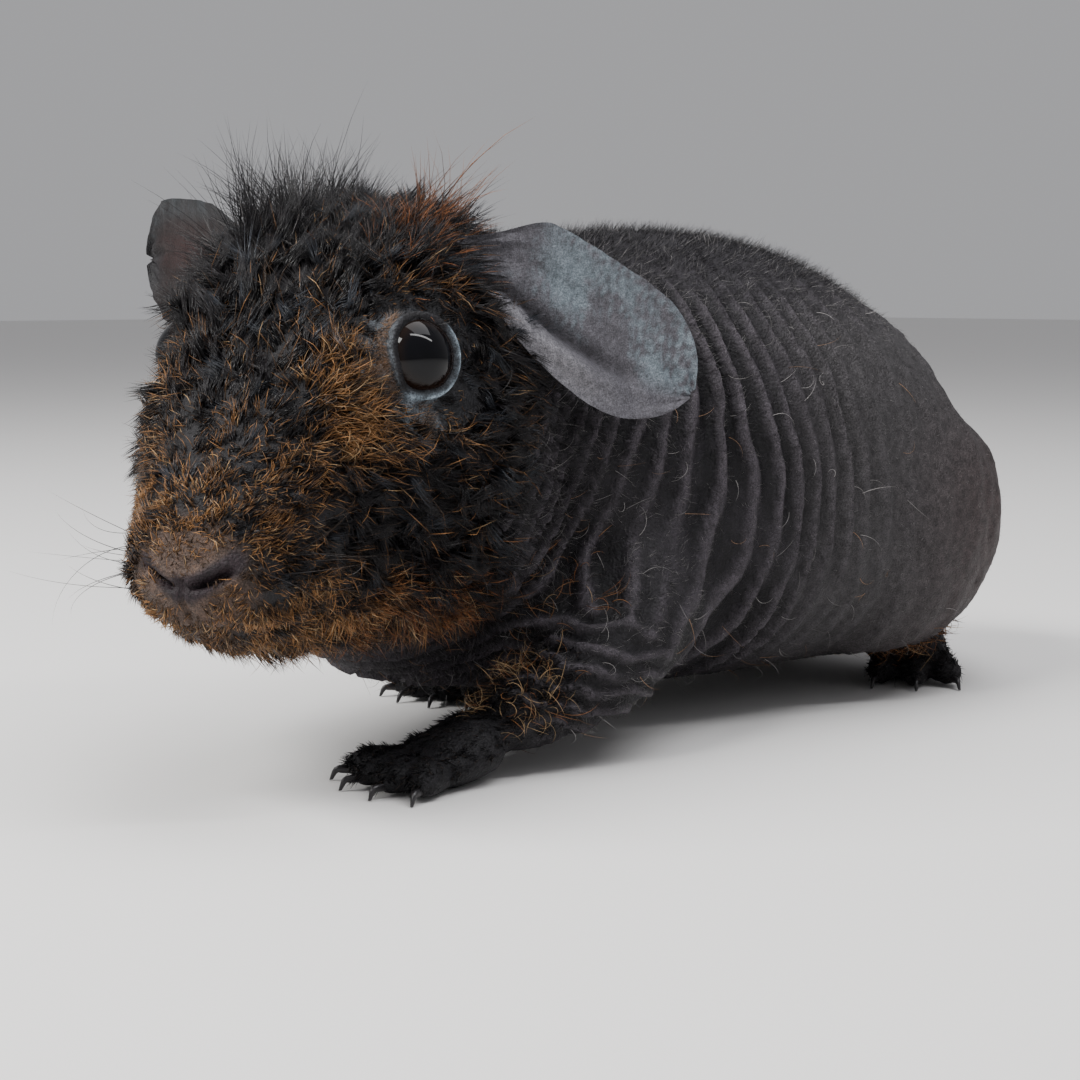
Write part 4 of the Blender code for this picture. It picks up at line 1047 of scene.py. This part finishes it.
def dress(draw, hairs, length, breadth, lift, bend, curl, low, tip, start, sunk=0.0004):
    """Gives every hair its own size, bend and colours."""
    count = len(hairs["root"])
    lock = hairs["lock"]
    hairs["length"] = length * draw.uniform(0.72, 1.30, count)[lock] * draw.uniform(0.85, 1.12, count)
    hairs["breadth"] = breadth * draw.uniform(0.75, 1.2, count)
    hairs["lift"] = np.clip(lift + draw.normal(0, 0.20, count)[lock] + draw.normal(0, 0.07, count), 0.10, 1.5)
    hairs["bend"] = bend * draw.uniform(0.5, 1.3, count)[lock]
    hairs["curl"] = curl * (0.85 * draw.normal(0, 1, count)[lock] + 0.3 * draw.normal(0, 1, count))
    hairs["sunk"] = np.full(count, sunk)
    bright = (draw.uniform(0.55, 1.50, count)[lock] * draw.uniform(0.80, 1.20, count))[:, None]
    hairs["low"], hairs["tip"], hairs["from"] = low * bright, tip * bright, start
    return hairs


def coat_areas(skin, lids, crest, strong):
    """Where hair may grow: shares from 0 to 1 at every point of the skin, with the measures they use."""
    points, out = points_of(skin.data), normals_of(skin.data)
    back, sideways, height = from_spine(points)
    rho, over, ahead = lids.T
    arms = FORE_LEFT["limb"][1:] + FORE_LEFT["palm"] + FORE_RIGHT["limb"][1:] + FORE_RIGHT["palm"]
    limb = near(points, [(spot, 0.011) for spot, _, _ in arms] + [(spot, 0.016) for spot in PAWS])
    nose = np.where(back < 0.006, nose_pad(sideways, height), 1)
    open_to = 1.12 + 0.34 * ease(ahead - 0.15 * over, 0.0, 1.0) + 0.02 * ease(-over, 0.2, 1.0)
    off_left, off_right = ease(rho, open_to, open_to + 0.12), ease(rho, 1.02, 1.12)
    haired = np.where((sideways < 0) & (back < 0.05), off_right, off_left) * ease(nose, 0.0008, 0.0013)
    roots = [root - SHIFT + along * 0.004 for root, along, _, _ in (ear_frame(1), ear_frame(-1))]
    clear = 1 - 0.93 * near(points, [(roots[0], 0.0100), (roots[1], 0.0070)])
    throat = 1 - ease(back, 0.018, 0.027) * (1 - ease(height, 0.0155, 0.0185))
    feet = near(points, [(spot, 0.0150) for spot in PAWS] + [WRIST_COAT])
    feet = feet * ease(out[:, 2], -0.55, 0.0) * ease(height, 0.0006, 0.0016)
    return SimpleNamespace(
        skin=skin, points=points, out=out, back=back, sideways=sideways, height=height, rho=rho, nose=nose,
        crest=crest, strong=strong, limb=limb, haired=haired, clear=clear, feet=feet,
        head=head_area(back, height) * haired * (1 - limb) * clear * throat,
        body=(1 - head_area(back, height)) * haired * (1 - 0.7 * feet), top=ease(height, 0.040, 0.056),
    )


def under_coat(area, finish):
    """Dense coat of the whole head, black with golden and rusty places."""
    draw, hairs, back, sideways, height = sow(area.skin, area.head, 53000, 61, 3000, 0.0024)
    count = len(back)
    nose_far = np.linalg.norm(hairs["root"] - place(0.0006, 0, 0.0225), axis=1)
    long = 0.0009 + 0.0013 * ease(nose_far, 0.003, 0.009) + 0.0018 * ease(back, 0.006, 0.020)
    long += 0.0012 * ease(height, 0.040, 0.052) * ease(back, 0.014, 0.026)
    long += 0.0012 * hump(back, EYE_PLACE[0] - 0.004, 0.006) * (sideways < 0) * ease(height, 0.036, 0.042)
    mark = marked(back, sideways, height, hairs["root"])
    gold = draw.random(count) < 0.55 * mark
    # some locks get bluish tips, a painted sheen on the black coat
    blue_sheen = (draw.random(count)[hairs["lock"]] < 0.16) * (1 - mark)
    tip = mix(DARK_HAIR * 1.5, BROWN_HAIR, draw.random(count) * (0.10 + 0.6 * mark))
    tip = mix(mix(tip, GOLD_HAIR, gold * 0.75), SHEEN_BLUE_HAIR, blue_sheen * 0.8)
    front = (1 - ease(nose_far, 0.0045, 0.0080)) * (1 - ease(height, 0.0270, 0.0290))
    dress(
        draw, hairs, length=long * beside_eyes(hairs["root"]), breadth=0.00015,
        lift=0.66 + 0.25 * waver(hairs["root"], 0.005, 62), bend=0.65, curl=0.70,
        low=mix(DARK_HAIR, NOSE_ROOT, front), tip=mix(tip, NOSE_HAIR, front), start=0.25,
    )
    grow_parts("under_coat", hairs, 3, 2, finish)


def ticked_coat(area, finish):
    """Guard hairs of the face with golden tips."""
    gold_here = marked(area.back, area.sideways, area.height, area.points)
    weight = area.head * (0.04 + gold_here**1.3) * ease(area.nose, 0.0010, 0.0018)
    draw, hairs, back, sideways, height = sow(area.skin, weight, 13000, 71)
    count = len(back)
    long = (0.0016 + 0.0022 * ease(back, 0.004, 0.020)) * beside_eyes(hairs["root"])
    tip = mix(GOLD_HAIR, RUST_HAIR, ease(back, 0.014, 0.024) * (1 - ease(height, 0.024, 0.030)))
    tip = mix(tip, STRAW_HAIR, (draw.random(count) < 0.20) * 0.7)
    dark = draw.random(count) > 0.25 + marked(back, sideways, height, hairs["root"]) * 0.9
    dress(
        draw, hairs, length=long, breadth=0.00015, lift=0.80, bend=0.60, curl=1.10, low=BROWN_HAIR * 0.6,
        tip=mix(tip, BROWN_HAIR, dark * 0.9), start=0.12,
    )
    grow_parts("ticked_coat", hairs, 2, 3, finish)


def crown_coat(area, finish):
    """Long hairs of the crown and nape, highest by the ear roots."""
    crown = ease(area.height, 0.047, 0.053) * ease(area.back, 0.022, 0.030)
    crown = crown * (1 - ease(area.back, 0.047, 0.058)) * area.clear
    draw, hairs, back, sideways, _ = sow(area.skin, crown, 7500, 81, 1900, 0.0045)
    count = len(back)
    right = hump(sideways, -0.0092, 0.0048) * ease(back, 0.024, 0.034)
    left = hump(sideways, 0.0092, 0.0030) * hump(back, 0.0375, 0.0060)
    tuft = np.maximum(right, left)
    long = 0.0032 + 0.0078 * tuft + 0.0030 * tuft * (draw.random(count) < 0.15)
    hairs["lie"] = unit(hairs["lie"] + 0.5 * tuft[:, None] * draw.normal(0, 0.6, (count, 3)))
    rusty = draw.random(count) < 0.98 * left ** 0.5
    tip = mix(DARK_HAIR * 1.4, RUST_HAIR, rusty * 0.9)
    tip = mix(tip, PALE_HAIR * 0.4, (draw.random(count) < 0.10) * 0.8)
    dress(
        draw, hairs, length=long, breadth=0.00011, lift=0.90 + 0.40 * tuft, bend=0.50, curl=1.0,
        low=DARK_HAIR, tip=tip, start=0.2,
    )
    grow("crown_coat", hairs, 4, finish)


def curled_coat(area, finish):
    """Rusty and straw-coloured curls of the jaw, the upper arms, the wrists and the heels."""
    jaw = hump(area.back, 0.0260, 0.0080) * hump(area.height, 0.0188, 0.0028) * (1 - area.limb)
    arms = near(area.points, ARM_CURLS) * ease(area.out[:, 2], -0.6, 0.2)
    arms = arms * ease(waver(area.points, 0.006, 93), -0.5, 0.4)
    wrists = near(area.points, WRIST_CURLS) * ease(area.out[:, 2], -0.4, 0.3)
    weight = 1.5 * jaw + 0.22 * arms + 0.55 * wrists + 0.45 * near(area.points, HEEL_CURLS)
    draw, hairs, back, _, _ = sow(area.skin, weight, 2500, 91)
    count = len(back)
    tip = mix(RUST_HAIR, GOLD_HAIR, draw.random(count))
    straw = 0.15 + 0.55 * near(hairs["root"], WRIST_STRAW)
    tip = mix(tip, STRAW_HAIR, (draw.random(count) < straw) * 0.85)
    tip = mix(tip, DARK_HAIR * 2, (draw.random(count) < 0.25) * 0.95)
    turned = draw.uniform(0, 2 * math.pi, count)[:, None] * 0.30
    hairs["lie"] = unit(hairs["lie"] * np.cos(turned) + np.cross(hairs["out"], hairs["lie"]) * np.sin(turned))
    dress(
        draw, hairs, length=0.0036, breadth=0.00010, lift=0.80, bend=0.9, curl=2.2, low=tip * 0.35, tip=tip,
        start=0.0,
    )
    grow("curled_coat", hairs, 7, finish)


def foot_coat(area, finish):
    """Short black coat of the feet and the left wrist, lying towards the toes."""
    draw, hairs, back, _, _ = sow(area.skin, area.feet, 9500, 101, 1300, 0.0012)
    tip = mix(DARK_HAIR * 1.2, BROWN_HAIR, (draw.random(len(back)) < 0.15) * 0.8)
    ahead, out = np.array((0.10, -0.9, -0.15)), hairs["out"]
    hairs["lie"] = unit(0.75 * ahead - 0.4 * hairs["lie"] - out * (ahead * 0.6 * out).sum(axis=1)[:, None])
    dress(
        draw, hairs, length=0.0016, breadth=0.00016, lift=0.55, bend=0.5, curl=0.5, low=DARK_HAIR, tip=tip,
        start=0.2,
    )
    grow("foot_coat", hairs, 2, finish)


def body_down(area, finish):
    """Thin down over the bare skin, upright and dark along the back, thinner in the valleys."""
    folded = np.clip(area.strong / 0.0005, 0, 1)
    weight = area.body * (0.50 + 0.8 * area.top + 0.4 * (1 - ease(area.back, 0.060, 0.090)))
    weight = weight * (1 - 0.75 * folded * ease(-area.crest, -0.3, 0.6))
    draw, hairs, back, _, height = sow(area.skin, weight, 62000, 111)
    high = ease(height, 0.042, 0.056)
    pale = draw.random(len(back)) < 0.50 - 0.42 * high
    tip = mix(DARK_HAIR * 2.5, PALE_HAIR * 0.80, pale)
    dress(
        draw, hairs, length=0.0009 + 0.0013 * high + 0.0006 * (1 - ease(back, 0.060, 0.090)),
        breadth=0.00004 + 0.00002 * high, lift=0.50 + 0.40 * high, bend=0.5, curl=1.0, low=tip * 0.6, tip=tip,
        start=0.0, sunk=0.0002,
    )
    grow_parts("down", hairs, 2, 1, finish)


def lid_down(area, finish):
    """Thin pale down on the bare skin before and below the eyes."""
    weight = ease(area.rho, 1.22, 1.34) * (area.rho < 2.2) * (1 - area.haired)
    draw, hairs, back, _, _ = sow(area.skin, weight, 1500, 151)
    tip = mix(PALE_HAIR * 0.6, GOLD_HAIR, draw.random(len(back)))
    dress(
        draw, hairs, length=0.0011, breadth=0.00006, lift=0.50, bend=0.5, curl=0.8, low=tip * 0.5, tip=tip,
        start=0.0, sunk=0.0001,
    )
    grow("lid_down", hairs, 3, finish)


def loose_curls(area, finish):
    """A few long pale curls on the neck and flanks."""
    weight = area.body * (1 - ease(area.back, 0.085, 0.125)) * (1 - area.top)
    draw, hairs, back, _, _ = sow(area.skin, weight, 420, 121)
    tip = mix(PALE_HAIR * 0.8, GOLD_HAIR, (draw.random(len(back)) < 0.3) * 0.8)
    dress(
        draw, hairs, length=0.0036, breadth=0.00007, lift=0.75, bend=0.9, curl=2.4, low=tip, tip=tip,
        start=0.0, sunk=0.0002,
    )
    grow("loose_curls", hairs, 8, finish)


def neck_curls(area, finish):
    """Sparse dark curls on the cheek and neck, where the dense coat ends."""
    fringe = area.body + 0.35 * area.head * ease(area.back, 0.010, 0.018)
    fringe = fringe * (1 - ease(area.back, 0.046, 0.060)) * (1 - area.limb) * area.clear
    fringe = fringe * ease(area.height, 0.012, 0.018) * ease(area.rho, 1.8, 2.4)
    draw, hairs, back, _, _ = sow(area.skin, fringe, 3600, 141)
    tip = mix(DARK_HAIR * 2.5, PALE_HAIR * 0.5, (draw.random(len(back)) < 0.12) * 0.8)
    dress(
        draw, hairs, length=0.0040, breadth=0.00007, lift=0.80, bend=0.9, curl=2.0, low=tip * 0.6, tip=tip,
        start=0.0, sunk=0.0002,
    )
    grow("neck_curls", hairs, 6, finish)


def whiskers(area, finish):
    """Long thin whiskers from the two pads."""
    on_pad = np.hypot(np.hypot(area.back - 0.0055, area.height - 0.0260), np.abs(area.sideways) - 0.0075)
    weight = (1 - ease(on_pad, 0.0020, 0.0045)) * area.haired
    draw, hairs, back, sideways, height = sow(area.skin, weight, 22, 131)
    outward = unit(place(back, sideways * 1.6, height) - place(back, sideways, height) + 1e-9)
    hairs["lie"] = unit(outward + np.array((0.0, 0.0, 0.15)) + draw.normal(0, 0.30, (len(back), 3)))
    dress(
        draw, hairs, length=0.0098, breadth=0.00008, lift=0.45, bend=0.6, curl=1.5, low=DARK_HAIR * 1.5,
        tip=BROWN_HAIR, start=0.3,
    )
    grow("whiskers", hairs, 14, finish)


def make_coat(area, finish):
    for part in (
        under_coat, ticked_coat, crown_coat, curled_coat, foot_coat, body_down, lid_down, loose_curls,
        neck_curls, whiskers,
    ):
        part(area, finish)


def build():
    eye_finish, ear_finish = eye_material(), ear_material()
    mesh, crest, strong, lids = make_skin()
    tone(mesh, skin_tones(mesh, crest, strong, lids))
    skin = piece("skin", mesh, skin_material())
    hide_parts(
        "head", "neck", "torso", "foreleg_left", "foreleg_right", "forefoot_left", "forefoot_right",
        "hindleg_left", "hindleg_right", "hindfoot_left", "hindfoot_right",
    )
    for side, word in ((1, "left"), (-1, "right")):
        eye = make_eye("eyeball_" + word, side, eye_finish)
        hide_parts("eye_" + word)
        ear = make_ear("ear_flap_" + word, side, ear_finish)
        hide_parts("ear_" + word)
    make_claws(claw_material())
    make_coat(coat_areas(skin, lids, crest, strong), coat_material())


CAMERA_PLACE = (0.1926, -0.1814, 0.0520)
CAMERA_DIP, CAMERA_TURN = math.radians(6.63), math.radians(47)
SENSOR, LENS = 36, 72
SUBJECT = (0.0, 0.0, 0.03)


def soft_light(name, where, aim, size, power, colour, along=(1, 0, 0)):
    """A flat light facing aim, its long side along the given way."""
    lamp = bpy.data.lights.new(name, "AREA")
    lamp.shape = "RECTANGLE"
    lamp.size, lamp.size_y = size
    lamp.energy = power
    lamp.color = colour
    back_way = (Vector(where) - Vector(aim)).normalized()
    long_way = (Vector(along) - back_way * back_way.dot(Vector(along))).normalized()
    turn = Matrix((long_way, back_way.cross(long_way), back_way)).transposed()
    made = bpy.data.objects.new(name, lamp)
    made.matrix_world = Matrix.LocRotScale(Vector(where), turn, None)
    bpy.context.scene.collection.objects.link(made)


def lay_floor():
    bm = bmesh.new()
    bmesh.ops.create_grid(bm, x_segments=1, y_segments=1, size=3)
    mesh = into_mesh("floor", bm)
    floor = bpy.data.objects.new("floor", mesh)
    bpy.context.scene.collection.objects.link(floor)
    made = shaded("pale_floor", 0.85, 0.3)
    made.node_tree.nodes["Principled BSDF"].inputs["Base Color"].default_value = (0.78, 0.77, 0.76, 1)
    mesh.materials.append(made)


def light_room():
    world = bpy.data.worlds.new("studio")
    world.use_nodes = True
    world.node_tree.nodes["Background"].inputs["Color"].default_value = (0.90, 0.90, 0.93, 1)
    world.node_tree.nodes["Background"].inputs["Strength"].default_value = 0.45
    bpy.context.scene.world = world
    soft_light("key", (-0.10, -0.37, 0.41), SUBJECT, (0.50, 0.12), 4.6, (1.0, 0.99, 0.97))
    soft_light("top", (0.02, 0.10, 0.62), SUBJECT, (0.50, 0.40), 2.2, (0.98, 0.98, 1.0))
    # a narrow window whose glint lies across the top of the left eye
    soft_light(
        "window", (0.220, 0.0015, 0.4065), (0.030, -0.045, 0.045), (0.37, 0.035), 0.85, (0.99, 0.99, 1.0),
        (0.131, 0.325, -0.111),
    )


def place_camera():
    camera = bpy.data.cameras.new("camera")
    camera.sensor_width = SENSOR
    camera.lens = LENS
    camera.clip_start = 0.01
    holder = bpy.data.objects.new("camera", camera)
    holder.location = CAMERA_PLACE
    holder.rotation_euler = (math.pi / 2 - CAMERA_DIP, 0, CAMERA_TURN)
    bpy.context.scene.collection.objects.link(holder)
    bpy.context.scene.camera = holder


def stage():
    lay_floor()
    light_room()
    place_camera()


build()
stage()
bpy.context.view_layer.update()
